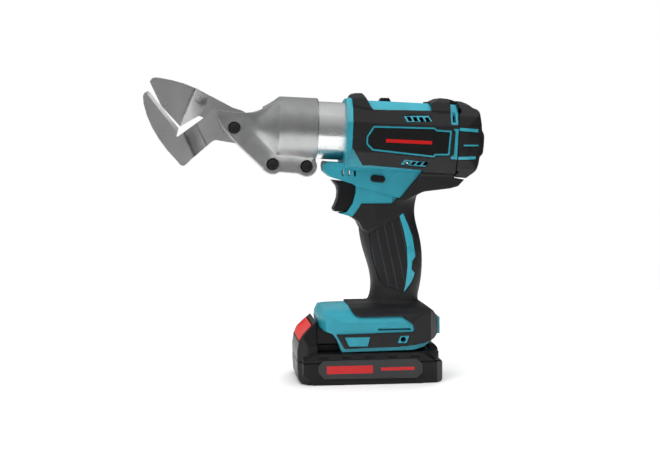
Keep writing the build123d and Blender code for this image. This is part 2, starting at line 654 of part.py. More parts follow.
def motor_can():
    """Drawn steel can with the front bearing boss."""
    can = rod_x(18.7, 31.0, 81.5) - rod_x(17.5, 32.4, 90)
    can += rod_x(6.4, 28.0, 31.1)
    can -= rod_x(1.68, 20, 40)
    for index in range(4):
        angle = math.radians(90 * index + 45)
        can -= rod_x(2.4, 30.5, 33, 12 * math.cos(angle), 12 * math.sin(angle))
    return BARREL * can


def motor_magnets():
    """Two arc magnets bonded inside the can."""
    shell = tube_x(17.45, 14.9, 40.0, 70.0)
    side = shell & block(30, 80, -13.0, 13.0, 0, 40)
    return [BARREL * side, BARREL * mirror(side, about=Plane.XY)]


def motor_end_bell():
    """Plastic rear end of the motor, holding the rear bearing and the brushes."""
    bell = rod_x(18.7, 81.6, 85.0) + rod_x(17.4, 78.0, 81.7) - rod_x(13.6, 70.0, 82.6)
    bell += rod_x(6.0, 84.9, 88.6)
    bell -= rod_x(1.68, 70, 100)
    return BARREL * bell


def motor_brushes():
    """Two carbon brushes on the commutator."""
    side = block(75.4, 79.4, -2.4, 2.4, 5.3, 13.2) - rod_x(5.3, 70, 85)
    return [BARREL * side, BARREL * mirror(side, about=Plane.XY)]


def armature_core():
    """Five-pole laminated core."""
    core = rod_x(14.4, 44.0, 68.0) - rod_x(1.6, 40, 80)
    for index in range(5):
        angle = 72 * index + 36
        slot = block(40, 80, 5.2, 12.6, -2.6, 2.6) + block(40, 80, 12.5, 16, -0.9, 0.9)
        core -= Rot(angle, 0, 0) * slot
    return BARREL * core


def armature_windings():
    """Copper windings: end turns joined by the bundles in the slots."""
    coils = tube_x(12.3, 3.4, 40.6, 44.0) + tube_x(12.3, 5.6, 68.0, 71.8)
    for index in range(5):
        angle = 72 * index + 36
        coils += Rot(angle, 0, 0) * block(43.5, 68.5, 5.4, 12.2, -2.4, 2.4)
    return BARREL * main_solid(coils)


def commutator():
    """Commutator ring with its bar gaps."""
    ring = tube_x(5.1, 1.6, 74.2, 80.0) + tube_x(5.5, 1.6, 72.6, 74.3)
    for index in range(5):
        ring -= Rot(72 * index, 0, 0) * block(74.4, 81, 4.7, 6, -0.25, 0.25)
    return BARREL * ring


def cooling_fan():
    """Nine-bladed fan on the motor shaft, inside the can."""
    fan = rod_x(14.6, 38.6, 39.6) + rod_x(3.2, 35.4, 38.7)
    for index in range(9):
        fan += Rot(40 * index, 0, 0) * block(35.6, 38.7, 6.0, 14.2, -0.5, 0.5)
    fan -= rod_x(1.6, 30, 45)
    return BARREL * fan


def coupling_sleeve():
    """Sleeve that joins the spindle to the crankshaft."""
    return BARREL * tube_x(8.0, BEARING_BORE_R, -43.8, -36.6)


# ---------------------------------------------------------------- head

EAR_SIDE = [(-99.6, 12.4), (-96.8, 5.6), (-92.4, -2.0), (-81.8, -12.8), (-61.7, -30.4),
            (-57.5, -33.2), (-24.2, -34.6), (-22.4, -30.0), (-22.0, -8.0), (-50.0, 10.0), (-50.0, 22.5),
            (-60.3, 15.4), (-68.0, 11.6), (-76.0, 10.6), (-88.0, 10.9)]
HORN = [(-76.0, 12.9), (-70.0, 13.5), (-64.0, 15.4), (-58.5, 18.2), (-53.5, 21.6), (-49.6, CLAMP_R)]
BLADE_ROOM = [(-120.0, -40.0), (-90.0, -13.4), (-62.0, -15.4), (-62.0, 40.0), (-120.0, 40.0)]
EAR_OUTER = 12.8
HEAD_SCREW_R = 2.5       # M5 socket-head screws through the head
HEAD_SCREW_HEAD_R = 3.9
SHELL_GAP = 0.5
CLAMP_SPOTS = [(-53.2, -27.6), (-27.0, -28.2)]
TUBE_END_X = -44.0
COLLAR_END_X = -19.9


def head_volume():
    """Both head castings as one volume, in the barrel frame."""
    horn_line = Spline(*[(x, 0, r) for x, r in HORN])
    closing = Polyline((HORN[-1][0], 0, CLAMP_R), (COLLAR_END_X, 0, CLAMP_R), (COLLAR_END_X, 0, 0),
                       (HORN[0][0], 0, 0), (HORN[0][0], 0, HORN[0][1]))
    horn = revolve(make_face(horn_line + closing), Axis.X)
    ears = side_prism(EAR_SIDE, -EAR_OUTER, EAR_OUTER)
    head = horn + ears
    for x, z in CLAMP_SPOTS:
        head += rod_y(8.0, -EAR_OUTER, EAR_OUTER, x, z)
    return head


def head_hollows():
    """Bores and blade space cut from the head castings, in the barrel frame."""
    hollows = rod_x(TUBE_R + 0.02, TUBE_END_X, 0)
    hollows += rod_x(BEARING_R + 0.02, -51.0, -40.0) + rod_x(9.6, -68.0, -50.0)
    hollows += side_prism(BLADE_ROOM, -6.4, 7.0)
    hollows += block(-63.0, FORK_END_X + 3.0, -0.9, 5.2, -15.5, 15.5)
    return hollows


def screw_hole(x, z):
    """Clearance hole and counterbore of one head screw."""
    hole = rod_y(HEAD_SCREW_R + 0.2, -40, 40, x, z)
    return hole + rod_y(HEAD_SCREW_HEAD_R + 0.4, -40, -EAR_OUTER + 1.6, x, z)


def head_shells():
    """Left and right castings, with the gap that the clamp screws close."""
    head = head_volume() - head_hollows()
    for x, z in CLAMP_SPOTS:
        head -= screw_hole(x, z)
    head -= screw_hole(*PIVOT)
    left = head & block(-FAR, FAR, -FAR, -SHELL_GAP, -FAR, FAR)
    right = head & block(-FAR, FAR, SHELL_GAP, FAR, -FAR, FAR)
    return BARREL * main_solid(left), BARREL * main_solid(right)


def socket_screw(x, z, shank_end):
    """Black socket-head screw from the left side, in the barrel frame."""
    head_low = -EAR_OUTER - 1.6
    screw = rod_y(HEAD_SCREW_HEAD_R, head_low, -EAR_OUTER + 1.6, x, z)
    screw += rod_y(HEAD_SCREW_R, -EAR_OUTER + 1.5, shank_end, x, z)
    socket = extrude(side_plane(head_low + 2.2) * RegularPolygon(2.0, 6, major_radius=False), 5)
    return screw - Pos(x, 0, z) * socket


def hex_nut(x, z):
    """Nut on the right side of the head, in the barrel frame."""
    nut = extrude(side_plane(EAR_OUTER + 4.0) * RegularPolygon(4.0, 6, major_radius=False), 4.0)
    return Pos(x, 0, z) * nut - rod_y(HEAD_SCREW_R, 0, 40, x, z)


# ---------------------------------------------------------------- blades

UPPER_JAW = [(-149.1, 30.7), (-147.4, 33.4), (-145.0, 34.2), (-140.0, 33.8), (-132.0, 32.6),
             (-123.5, 30.7), (-113.3, 27.2), (-104.0, 23.0), (-104.0, 1.9), (-107.8, 5.7),
             (-110.9, 6.6), (-124.8, -2.2), (-139.7, 12.8)]
UPPER_NECK = [(-106.0, 23.9), (-99.7, 21.2), (-94.3, 18.6), (-85.0, 14.2), (-78.0, 12.4),
              (-74.0, 10.5), (-72.0, 6.0), (-72.0, -10.0), (-84.0, -12.0), (-92.0, -9.0),
              (-100.0, 0.0), (-106.0, 4.0)]
LOWER_JAW = [(-153.6, 19.5), (-152.7, 21.8), (-150.1, 23.3), (-148.7, 22.9), (-125.9, -3.5),
             (-127.2, -9.4), (-116.0, -27.4), (-119.5, -31.1), (-121.2, -32.0), (-123.2, -31.5),
             (-127.0, -27.4), (-133.6, -20.8), (-140.2, -12.7), (-145.9, -3.9), (-150.1, 4.9),
             (-152.9, 13.7)]
LOWER_SHANK = [(-126.7, -10.2), (-108.1, 4.6), (-99.9, 12.7), (-92.0, 12.0), (-76.0, 8.5),
               (-70.5, 3.0), (-70.5, -14.0), (-82.3, -13.0), (-97.1, -11.3), (-99.4, -12.1),
               (-103.5, -15.8), (-116.6, -27.8)]
# Each blade's crank: where the step begins and ends along a line leaning this many degrees above X.
UPPER_STEP = (-117.5, -105.6, -20.0)
LOWER_STEP = (-111.4, -100.0, 27.9)
FORK_ROOT_X = -66.0
FORK_END_X = -56.4
FORK_PRONG = 4.0
BEVEL_ANGLE = 40.0       # of the ground face to the blade's flat
BEVEL_DEPTH = 3.2
BEND_R = 2.0             # inside radius of the blades' bends


def stepped_plate(points, tail_y, step):
    """Blade plate of an (X, Z) outline that steps from its tail plane out to the jaw plane."""
    step_start, step_end, lean = step
    jaw_y = tail_y - JAW_OFFSET
    spine = [(-FAR, jaw_y), (step_start, jaw_y), (step_end, tail_y), (FAR, tail_y)]
    near = offset_side(spine, -BLADE_THICKNESS / 2)
    far = offset_side(spine, BLADE_THICKNESS / 2)
    profile = make_face(Polyline(*near, *reversed(far), close=True))
    profile = round_corners(profile, [far[1], near[2]], BEND_R)
    profile = round_corners(profile, [near[1], far[2]], BEND_R + BLADE_THICKNESS)
    ribbon = extrude(Pos(0, 0, -FAR) * profile, 2 * FAR, dir=(0, 0, 1))
    return Rot(0, -lean, 0) * ribbon & side_prism(points, -FAR, FAR)


def round_corners(profile, corners, radius):
    """Flat profile with the corners nearest the given XY points rounded."""
    picked = [vertex for vertex in profile.vertices()
              if min(math.dist((vertex.X, vertex.Y), corner) for corner in corners) < 0.01]
    return fillet(picked, radius)


def offset_side(spine, amount):
    """Parallel line beside an open XY polyline."""
    moved = []
    for index, (x, y) in enumerate(spine):
        before = spine[max(index - 1, 0)]
        after = spine[min(index + 1, len(spine) - 1)]
        normal_in = edge_normal(before, (x, y)) if index else edge_normal((x, y), after)
        normal_out = edge_normal((x, y), after) if index < len(spine) - 1 else normal_in
        scale = -amount / (1 + normal_in[0] * normal_out[0] + normal_in[1] * normal_out[1])
        moved.append((x + scale * (normal_in[0] + normal_out[0]),
                      y + scale * (normal_in[1] + normal_out[1])))
    return moved


def cutting_bevel(outer_y):
    """Wedge ground off the lower jaw's outer face along its cutting edge."""
    edge_x, edge_z = LOWER_JAW[4]
    tip_x, tip_z = LOWER_JAW[3]
    slope = math.degrees(math.atan2(tip_z - edge_z, edge_x - tip_x))
    length = math.hypot(edge_x - tip_x, tip_z - edge_z)
    wedge = Rot(BEVEL_ANGLE, 0, 0) * Pos(0, -10, 10) * Box(length + 1, 20, 20)
    middle = Pos((edge_x + tip_x) / 2, outer_y + BEVEL_DEPTH, (edge_z + tip_z) / 2)
    return middle * Rot(0, slope, 0) * wedge


def upper_blade():
    """Moving blade: pointed jaw, cranked neck and forked tail around the eccentric."""
    tail_y = 0.1 + BLADE_THICKNESS / 2
    blade = stepped_plate(UPPER_JAW, tail_y, UPPER_STEP) + stepped_plate(UPPER_NECK, tail_y, UPPER_STEP)
    slot_half = ECCENTRIC_R + FORK_CLEARANCE
    reach = slot_half + FORK_PRONG
    z_rest = -CRANK_THROW
    tail = block(FORK_ROOT_X - 9, FORK_END_X, 0.1, 0.1 + BLADE_THICKNESS, z_rest - reach, z_rest + reach)
    tail -= block(FORK_ROOT_X, 0, -10, 10, z_rest - slot_half, z_rest + slot_half)
    blade += tail
    blade -= rod_y(5.0, -20, 20, *PIVOT)
    return BARREL * main_solid(blade)


def lower_blade():
    """Fixed blade: bevelled jaw, cranked shank and a tail clamped in the head."""
    tail_y = -BLADE_THICKNESS / 2
    blade = stepped_plate(LOWER_JAW, tail_y, LOWER_STEP) + stepped_plate(LOWER_SHANK, tail_y, LOWER_STEP)
    blade -= cutting_bevel(tail_y - JAW_OFFSET - BLADE_THICKNESS / 2)
    blade -= rod_y(HEAD_SCREW_R + 0.1, -20, 20, *PIVOT)
    return BARREL * main_solid(blade)


def pivot_spacer():
    """Flanged bush the moving blade turns on, up to the far shell."""
    x, z = PIVOT
    bush = rod_y(4.95, 0.1, 7.0, x, z) + rod_y(7.5, 4.3, 7.0, x, z)
    return BARREL * (bush - rod_y(HEAD_SCREW_R + 0.05, -1, 20, x, z))


def near_spacer():
    """Washer between the fixed blade and the near shell."""
    x, z = PIVOT
    return BARREL * (rod_y(8.0, -6.4, -4.0, x, z) - rod_y(HEAD_SCREW_R + 0.05, -20, 0, x, z))


def crankshaft():
    """Crank: journal in the bearing, web, and pin set off by the throw (down at rest)."""
    crank = rod_x(BEARING_BORE_R - 0.03, -51.2, SPINDLE_END_X - 0.4) + rod_x(7.0, -54.6, -51.1)
    crank += rod_x(2.48, -60.4, -54.5, 0, -CRANK_THROW)
    return BARREL * crank


def eccentric_bearing():
    """Small bearing on the crank pin, running in the blade's fork."""
    half = 2.0
    ring = ball_bearing(ECCENTRIC_R, 2.5, ECCENTRIC_X - half, ECCENTRIC_X + half)
    return BARREL * Pos(0, 0, -CRANK_THROW) * ring


# ---------------------------------------------------------------- controls

TRIGGER_SIDE = [(-28.4, 155.0), (-27.0, 153.0), (-24.6, 150.0), (-23.6, 146.0), (-24.1, 141.0),
                (-26.0, 135.8), (-27.7, 132.6), (-26.8, 130.6), (-10.0, 130.6), (-6.0, 134.0),
                (-6.0, 150.4), (-13.0, 151.6), (-13.6, 153.2)]
SWITCH_FRONT_X = 3.5
SPRING_AXIS_Z = 142.0


def trigger():
    """Finger trigger with a curved front and a pocket for its spring."""
    body = side_prism(TRIGGER_SIDE, -TRIGGER_HALF_WIDTH, TRIGGER_HALF_WIDTH)
    front_edges = body.edges().filter_by(lambda e: e.center().X < -22 and abs(e.center().Y) > 8)
    body = fillet(front_edges, 2.0)
    body -= rod_x(3.6, -16.0, 0.0, 0, SPRING_AXIS_Z)
    return body


def trigger_spring():
    """Coil spring between trigger and switch."""
    start, end = -15.8, SWITCH_FRONT_X - 0.1
    path = Helix(pitch=(end - start - 0.6) / 6, height=end - start - 0.6, radius=2.6)
    profile = Plane(origin=path @ 0, z_dir=path % 0) * Circle(0.25)
    coil = sweep(profile, path=path, is_frenet=True)
    return Pos(start + 0.3, 0, SPRING_AXIS_Z) * Rot(0, 90, 0) * coil


def switch_body():
    """Trigger switch block under the direction button."""
    return block(SWITCH_FRONT_X, 28.0, -10.0, 10.0, 130.5, 149.0) + block(8, 24, -8, 8, 148, 151.5)


def direction_button():
    """Cross bar that is pushed from either side; both ends stand proud."""
    return stadium(BUTTON_SPOT, BUTTON_HALF[0], BUTTON_HALF[1], 5.0, -19.2, 19.2)


def speed_slider():
    """Ridged knob on its base plate in the top recess, in the barrel frame at the front stop."""
    knob = side_prism([(27.5, 24.0), (29.4, 27.4), (35.2, 27.6), (37.6, 24.0)], -4.6, 4.6)
    for x in (30.6, 32.3, 34.0):
        knob -= block(x - 0.3, x + 0.3, -6, 6, 27.0, 29)
    base = block(24.4, 40.4, -5.9, 5.9, 22.6, 24.1) + block(32.0, 39.0, -5.9, 5.9, 21.9, 22.7)
    flange = block(31.5, 40.0, -7.4, 7.4, 20.6, 22.0)
    return BARREL * (knob + base + flange)


def led_lens():
    """Clear lens of the work light."""
    return BARREL * LIGHT_SEAT * (Cylinder(2.2, 3.4) + Pos(0, 0, 1.2) * Sphere(2.0))


# ---------------------------------------------------------------- battery

PACK_SIDE = [(-54.8, 0.0), (-57.0, 2.8), (-57.8, 12.0), (-57.8, 25.0), (-56.6, 32.0), (-53.9, 37.0),
             (-48.0, 43.2), (-43.1, 47.6), (-43.1, 24.2), (50.4, 24.2), (50.4, 19.0), (54.2, 15.4),
             (54.2, 1.6), (52.8, 0.0)]
PACK_PLAN = [(-57.8, -25.0), (-50.0, -34.8), (48.6, -35.8), (54.2, -29.0)]
PACK_SPLIT_Z = 17.0
SIDE_PLATE = [(-54.3, 7.4), (-54.3, 19.6), (-45.9, 24.2), (38.8, 24.2), (46.3, 18.4), (46.3, 5.2),
              (37.6, 0.0), (-46.6, 0.0)]
LABEL = [(-42.9, 15.3), (-39.0, 19.1), (33.0, 19.4), (37.2, 14.9), (37.4, 8.3), (32.8, 4.2),
         (-38.6, 4.8), (-42.9, 9.6)]
REAR_STEP = [(44.4, 18.0), (45.0, 27.8), (49.4, 27.8), (52.0, 24.6), (52.4, 18.0)]
REAR_STEP_HALF = 21.4
PACK_WALL = 2.0
PACK_SCREWS = [(x, y) for x in (-52.0, 49.4) for y in (-26.5, 26.5)]
PACK_HALF_WIDTH = 37.4
CELL_R = 9.1
CELL_LENGTH = 65.0
CELL_COUNT = 5
CELL_PITCH = 19.2
RELEASE_FACE = [(-56.4, 33.0), (-53.9, 37.4), (-46.9, 44.9), (-45.8, 42.6), (-51.4, 36.8), (-55.0, 31.0)]
RELEASE_ROOM = [(-56.4, 33.0), (-53.9, 37.4), (-46.9, 44.9), (-45.0, 43.2), (-44.2, 40.6), (-49.6, 34.6),
                (-53.4, 28.2), (-55.0, 31.0)]


def pack_volume(grow):
    """Battery case volume with its raised side plates."""
    plan = PACK_PLAN + [(x, -y) for x, y in reversed(PACK_PLAN)]
    case = side_prism(offset_outline(PACK_SIDE, grow), -FAR / 2, FAR / 2)
    case = case & plan_prism(offset_outline(plan, grow), -FAR, FAR)
    nose_section = [(24.0, 50.0), (34.8, 30.0), (35.8, 24.0), (35.8, 0.0)]
    case = case & front_prism(offset_outline(mirrored(nose_section), grow), -FAR, FAR)
    case += side_prism(offset_outline(REAR_STEP, grow), -REAR_STEP_HALF - grow, REAR_STEP_HALF + grow)
    reach = PACK_HALF_WIDTH + grow
    return case + side_prism(offset_outline(SIDE_PLATE, grow), -reach, reach)


def battery_cases():
    """Lower tub and upper cover of the battery."""
    shell = pack_volume(0) - pack_volume(-PACK_WALL)
    rails = block(-43.0, 41.4, -21.6, 21.6, 22.3, 41.4)
    rails += block(-42.4, 41.4, -25.2, 25.2, RAIL_LEDGE_Z + 0.4, 41.4)
    hollow = block(-41.0, 39.4, -19.6, 19.6, 20.0, 39.4)
    shell = shell + rails - hollow
    for y in (-13.0, -4.5, 4.5, 13.0):
        shell -= block(-2.0, 60.0, y - 0.9, y + 0.9, 31.0, 60.0)
    for index in range(5):
        x = -38.0 + 17.4 * index
        shell -= block(x - 3.5, x + 3.5, -60.0, -PACK_HALF_WIDTH + 0.8, 20.4, 23.0)
        shell -= block(x - 3.5, x + 3.5, PACK_HALF_WIDTH - 0.8, 60.0, 20.4, 23.0)
    for side in both_sides(side_prism(LABEL, -60.0, -PACK_HALF_WIDTH + 0.5)):
        shell -= side
    shell -= button_pocket()
    for x, y in PACK_SCREWS:
        shell += rod_z(2.6, 1.0, PACK_SPLIT_Z, x, y)
        shell -= rod_z(1.5, 0, PACK_SPLIT_Z + 1, x, y) + rod_z(2.8, -1, 2.4, x, y)
    lower = shell & block(-FAR, FAR, -FAR, FAR, -FAR, PACK_SPLIT_Z - 0.05)
    upper = shell & block(-FAR, FAR, -FAR, FAR, PACK_SPLIT_Z + 0.05, FAR)
    return main_solid(lower), main_solid(upper)


def button_pocket():
    """Recess for the release button in the battery's sloping nose."""
    return side_prism(offset_outline(RELEASE_ROOM, 0.35), -24.4, 24.4)


def release_button():
    """Red release button with a finger hollow."""
    button = side_prism(RELEASE_FACE, -24.0, 24.0)
    hollow = Pos(-51.4, 0, 41.4) * Rot(0, -46.0, 0) * Box(8.4, 36.0, 3.0)
    return main_solid(button - hollow)


def battery_labels():
    """Plain grey side labels without lettering."""
    label = side_prism(offset_outline(LABEL, -0.1), -PACK_HALF_WIDTH + 0.1, -PACK_HALF_WIDTH + 0.5)
    return both_sides(Pos(0, -0.5, 0) * label)


def battery_cells():
    """Row of round cells lying across the case."""
    first = -1.0 - CELL_PITCH * (CELL_COUNT - 1) / 2
    return [rod_y(CELL_R, -CELL_LENGTH / 2, CELL_LENGTH / 2, first + CELL_PITCH * index, 11.6)
            for index in range(CELL_COUNT)]


def battery_board():
    """Protection board above the cells."""
    return block(-36.0, 34.0, -18.0, 18.0, 23.0, 24.6)


def battery_contacts():
    """Spring contacts behind the battery's slots."""
    contacts = []
    for y in (-13.0, 13.0):
        fork = block(0.0, 14.0, y - 2.2, y + 2.2, 24.7, 38.0) - block(-1, 15, y - 0.8, y + 0.8, 27.0, 40.0)
        contacts.append(fork)
    return contacts


def battery_screws():
    """Four case screws driven from below."""
    return [rod_z(1.4, 2.2, 16.0, x, y) + rod_z(2.6, 0.6, 2.3, x, y) for x, y in PACK_SCREWS]


def terminal_block():
    """Plastic block in the foot that holds the tool's contacts."""
    body = block(-2.0, 30.0, -18.0, 18.0, RAIL_TOP_Z - 0.4, 49.0)
    for y in (-13.0, 13.0):
        body -= block(0.0, 12.0, y - 0.5, y + 0.5, 30.0, 60.0)
    return body


def tool_contacts():
    """Two blade contacts that plug into the battery."""
    return [block(0.0, 12.0, y - 0.5, y + 0.5, 32.0, 52.0) for y in (-13.0, 13.0)]


def lead_wires():
    """Wires from the contacts up the grip to the switch, and from the switch to the motor."""
    wires = []
    for y in (-4.0, 4.0):
        path = Polyline((16, y, 49.5), (16, y, 70), (22, y, 95), (18, y, 130))
        wires.append(sweep(Plane(origin=path @ 0, z_dir=path % 0) * Circle(1.1), path=path,
                           transition=Transition.ROUND))
    for y in (-6.0, 6.0):
        path = Polyline((24, y, 151.7), (32, y, 158), (54, y, 160.6), (62, y, 161.4), (62, y, 167.5))
        wires.append(sweep(Plane(origin=path @ 0, z_dir=path % 0) * Circle(1.1), path=path,
                           transition=Transition.ROUND))
    return wires


def housing_screws():
    """Self-tapping screws that hold the halves, heads on the right side."""
    screws = []
    for x, z in SCREW_SPOTS:
        head = rod_y(SCREW_HEAD_R, SCREW_HEAD_Y, SCREW_HEAD_Y + 1.8, x, z)
        socket = rod_y(1.2, SCREW_HEAD_Y + 0.8, SCREW_HEAD_Y + 3.0, x, z)
        screws.append(head + rod_y(SCREW_R, -SCREW_HEAD_Y + 0.5, SCREW_HEAD_Y + 0.1, x, z) - socket)
    return screws


# ---------------------------------------------------------------- write the nodes

def write_housing():
    """Housing halves, overmoulds and trims."""
    shell = housing()
    save("housing_left", main_solid(left_half(shell)))
    save("housing_right", main_solid(right_half(shell)))
    core = body_volume(0)
    for pad in teal_pads():
        core += pad
    core += BARREL * flange_ring()
    left, right = overmoulds(core)
    save("overmould_left", left)
    save("overmould_right", right)
    save("name_plates", *name_plates())
    save("grip_inserts", *grip_inserts())
    save("grip_accents", *skin_insert(ACCENT_REGION, SKIN))
    cap, trims = rear_cap()
    save("rear_cap", cap)
    save("rear_cap_trim", *trims)
    save("housing_screws", *housing_screws())


def write_drive():
    """Motor, gears and their bearings."""
    save("gearcase", gearcase())
    save("ring_gear", ring_gear())
    save("motor_plate", motor_plate())
    save("motor_can", motor_can())
    save("motor_magnets", *motor_magnets())
    save("motor_end_bell", motor_end_bell())
    save("motor_brushes", *motor_brushes())
    for_seats = [ball_bearing(BEARING_R, BEARING_BORE_R + 0.02, x, x + BEARING_WIDTH) for x in (-36.0, 5.0)]
    save("spindle_bearings", *[BARREL * ring for ring in for_seats])
    save("motor_shaft", BARREL * rod_x(1.585, 15.9, 88.0))
    save("armature_core", armature_core())
    save("armature_windings", armature_windings())
    save("commutator", commutator())
    save("cooling_fan", cooling_fan())
    save("pinion", pinion())
    for index in range(3):
        save(f"planet_gear_{index + 1}", planet_gear(index))
    save("planet_carrier", planet_carrier())
    save("planet_pins", *planet_pins())
    save("coupling_sleeve", coupling_sleeve())


def write_head():
    """Clamped head with blades and crank."""
    left, right = head_shells()
    save("head_shell_left", left)
    save("head_shell_right", right)
    screws = [BARREL * socket_screw(x, z, EAR_OUTER + 5.5) for x, z in CLAMP_SPOTS]
    save("clamp_screws", *screws)
    save("pivot_screw", BARREL * socket_screw(*PIVOT, EAR_OUTER + 5.5))
    save("head_nuts", *[BARREL * hex_nut(x, z) for x, z in CLAMP_SPOTS + [PIVOT]])
    save("pivot_bush", pivot_spacer())
    save("pivot_washer", near_spacer())
    save("lower_blade", lower_blade())
    save("upper_blade", upper_blade())
    save("crank_bearing", BARREL * ball_bearing(BEARING_R, BEARING_BORE_R + 0.02, -51.0, -44.0))
    save("crankshaft", crankshaft())
    save("eccentric_bearing", eccentric_bearing())


def write_controls():
    """Trigger, buttons, light and wiring."""
    save("trigger", trigger())
    save("trigger_spring", trigger_spring())
    save("switch_body", switch_body())
    save("direction_button", direction_button())
    save("speed_slider", speed_slider())
    save("led_lens", led_lens())
    save("terminal_block", terminal_block())
    save("tool_contacts", *tool_contacts())
    save("lead_wires", *lead_wires())


def write_battery():
    """Slide-on battery pack."""
    lower, upper = battery_cases()
    save("battery_lower_case", lower)
    save("battery_upper_case", upper)
    save("battery_labels", *battery_labels())
    save("battery_cells", *battery_cells())
    save("battery_board", battery_board())
    save("battery_contacts", *battery_contacts())
    save("battery_screws", *battery_screws())
    save("release_button", release_button())


def main():
    """Write every node."""
    os.makedirs("parts", exist_ok=True)
    write_housing()
    write_drive()
    write_head()
    write_controls()
    write_battery()


main()
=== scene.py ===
import json
import math

import bpy
import numpy as np
from bpy.props import FloatProperty, FloatVectorProperty, PointerProperty
from mathutils import Euler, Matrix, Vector

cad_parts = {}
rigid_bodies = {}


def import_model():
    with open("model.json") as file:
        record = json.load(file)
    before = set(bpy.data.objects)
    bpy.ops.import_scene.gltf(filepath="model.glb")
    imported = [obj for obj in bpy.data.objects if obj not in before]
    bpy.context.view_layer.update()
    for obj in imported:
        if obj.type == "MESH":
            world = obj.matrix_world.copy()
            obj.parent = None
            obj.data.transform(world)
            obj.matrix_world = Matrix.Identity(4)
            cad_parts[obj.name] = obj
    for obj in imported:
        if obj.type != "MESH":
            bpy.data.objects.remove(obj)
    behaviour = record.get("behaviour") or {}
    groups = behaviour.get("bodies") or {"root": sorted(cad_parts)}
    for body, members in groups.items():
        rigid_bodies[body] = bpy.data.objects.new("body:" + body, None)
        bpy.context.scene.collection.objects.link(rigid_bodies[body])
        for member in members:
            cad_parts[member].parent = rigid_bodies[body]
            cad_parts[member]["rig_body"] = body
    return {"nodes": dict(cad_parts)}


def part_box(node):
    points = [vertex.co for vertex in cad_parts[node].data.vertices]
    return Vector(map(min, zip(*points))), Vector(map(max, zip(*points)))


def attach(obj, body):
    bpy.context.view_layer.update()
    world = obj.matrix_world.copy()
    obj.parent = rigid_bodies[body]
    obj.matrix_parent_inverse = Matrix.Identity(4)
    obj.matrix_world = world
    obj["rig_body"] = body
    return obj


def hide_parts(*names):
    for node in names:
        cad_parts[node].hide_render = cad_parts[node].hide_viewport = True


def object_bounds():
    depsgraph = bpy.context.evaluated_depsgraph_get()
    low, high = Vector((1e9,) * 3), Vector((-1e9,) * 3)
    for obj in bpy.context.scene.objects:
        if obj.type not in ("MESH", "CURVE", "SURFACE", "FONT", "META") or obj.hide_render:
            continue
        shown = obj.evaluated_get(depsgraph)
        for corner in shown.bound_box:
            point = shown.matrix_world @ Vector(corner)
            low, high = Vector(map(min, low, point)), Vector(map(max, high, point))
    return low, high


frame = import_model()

# Looks of a cordless sheet-metal shear, laid over its fixed frame. Metres, the frame's own axes:
# the blades point along -X, the tool's left side faces -Y and the battery stands on Z = 0.

bl_info = {
    "name": "Cordless Sheet-Metal Shear",
    "version": (1, 0, 0),
    "blender": (4, 5, 0),
    "location": "3D View > Sidebar > Shear",
    "description": "Finishes the castings, mouldings, blades and battery of a cordless shear",
    "category": "Object",
}

MM = 0.001
BARREL_TILT = math.radians(3.0)     # the barrel leans this much, nose up
BARREL_ORIGIN = (-20.0, 192.5)      # mm along X and Z to the middle of the barrel's mouth
HEAD_SCREWS = [(-83.7, -1.0), (-53.2, -27.6), (-27.0, -28.2)]   # mm along the barrel's X and Z
CAD_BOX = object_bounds()


# ---------------------------------------------------------------- colours and settings

def linear(hex_colour):
    """Linear RGB of an sRGB hex colour."""
    channels = [int(hex_colour[start:start + 2], 16) / 255 for start in (1, 3, 5)]
    return tuple(c / 12.92 if c <= 0.04045 else ((c + 0.055) / 1.055) ** 2.4 for c in channels)


def colour_property(name, description, hex_colour):
    """A colour that the user can change, given as sRGB hex."""
    return FloatVectorProperty(name=name, description=description, subtype="COLOR",
                               size=3, min=0, max=1, default=linear(hex_colour))


def length_property(name, description, millimetres):
    """A length that the user can change, given in millimetres."""
    return FloatProperty(name=name, description=description, subtype="DISTANCE", unit="LENGTH",
                         min=0, default=millimetres * MM, precision=5)


class ShearColours(bpy.types.PropertyGroup):
    """Colours of the tool's materials."""
    nylon: colour_property("Body nylon", "Moulded housing halves", "#2C97A9")
    accent: colour_property("Accent", "Teal inlays in the cap and the grip", "#3AA9BC")
    rubber: colour_property("Overmould", "Soft armour and grip", "#18181A")
    case: colour_property("Battery case", "Moulded battery shells", "#111113")
    plate: colour_property("Name plates", "Glossy plates in the barrel sides", "#0C0D0E")
    label: colour_property("Battery labels", "Printed film on the battery sides", "#28292B")
    print_red: colour_property("Red print", "Stripes on plates and labels", "#C81414")
    button: colour_property("Release button", "Battery release button", "#E32218")
    casting: colour_property("Head casting", "Blasted and polished light alloy", "#B8B9B9")
    blade: colour_property("Blades", "Ground tool steel", "#D6D6D6")


class ShearSizes(bpy.types.PropertyGroup):
    """Sizes of rounded edges and of the studio."""
    edge: length_property("Machined edge", "Rounding of machined and stamped edges", 0.25)
    moulded_edge: length_property("Moulded edge", "Rounding of small moulded parts", 0.5)
    grid: length_property("Moulding grid", "Grid on which mouldings are rounded", 0.6)
    casting_grid: length_property("Casting grid", "Grid on which castings are rounded", 0.45)
    floor_half: length_property("Floor reach", "Half the side of the studio floor", 520)


def colours():
    """The user's colours."""
    return bpy.context.scene.shear_colours


def sizes():
    """The user's sizes."""
    return bpy.context.scene.shear_sizes


# ---------------------------------------------------------------- shader helpers

def add(tree, kind, settings=None, inputs=None):
    """One shader node; an input is a plain value or another node's output."""
    made = tree.nodes.new("ShaderNode" + kind)
    for name, value in (settings or {}).items():
        setattr(made, name, value)
    for socket, value in (inputs or {}).items():
        if isinstance(value, bpy.types.NodeSocket):
            tree.links.new(value, made.inputs[socket])
        else:
            made.inputs[socket].default_value = value
    return made


def shade(colour, factor):
    """The colour made darker or lighter, with full alpha."""
    return tuple(min(1.0, channel * factor) for channel in colour) + (1.0,)


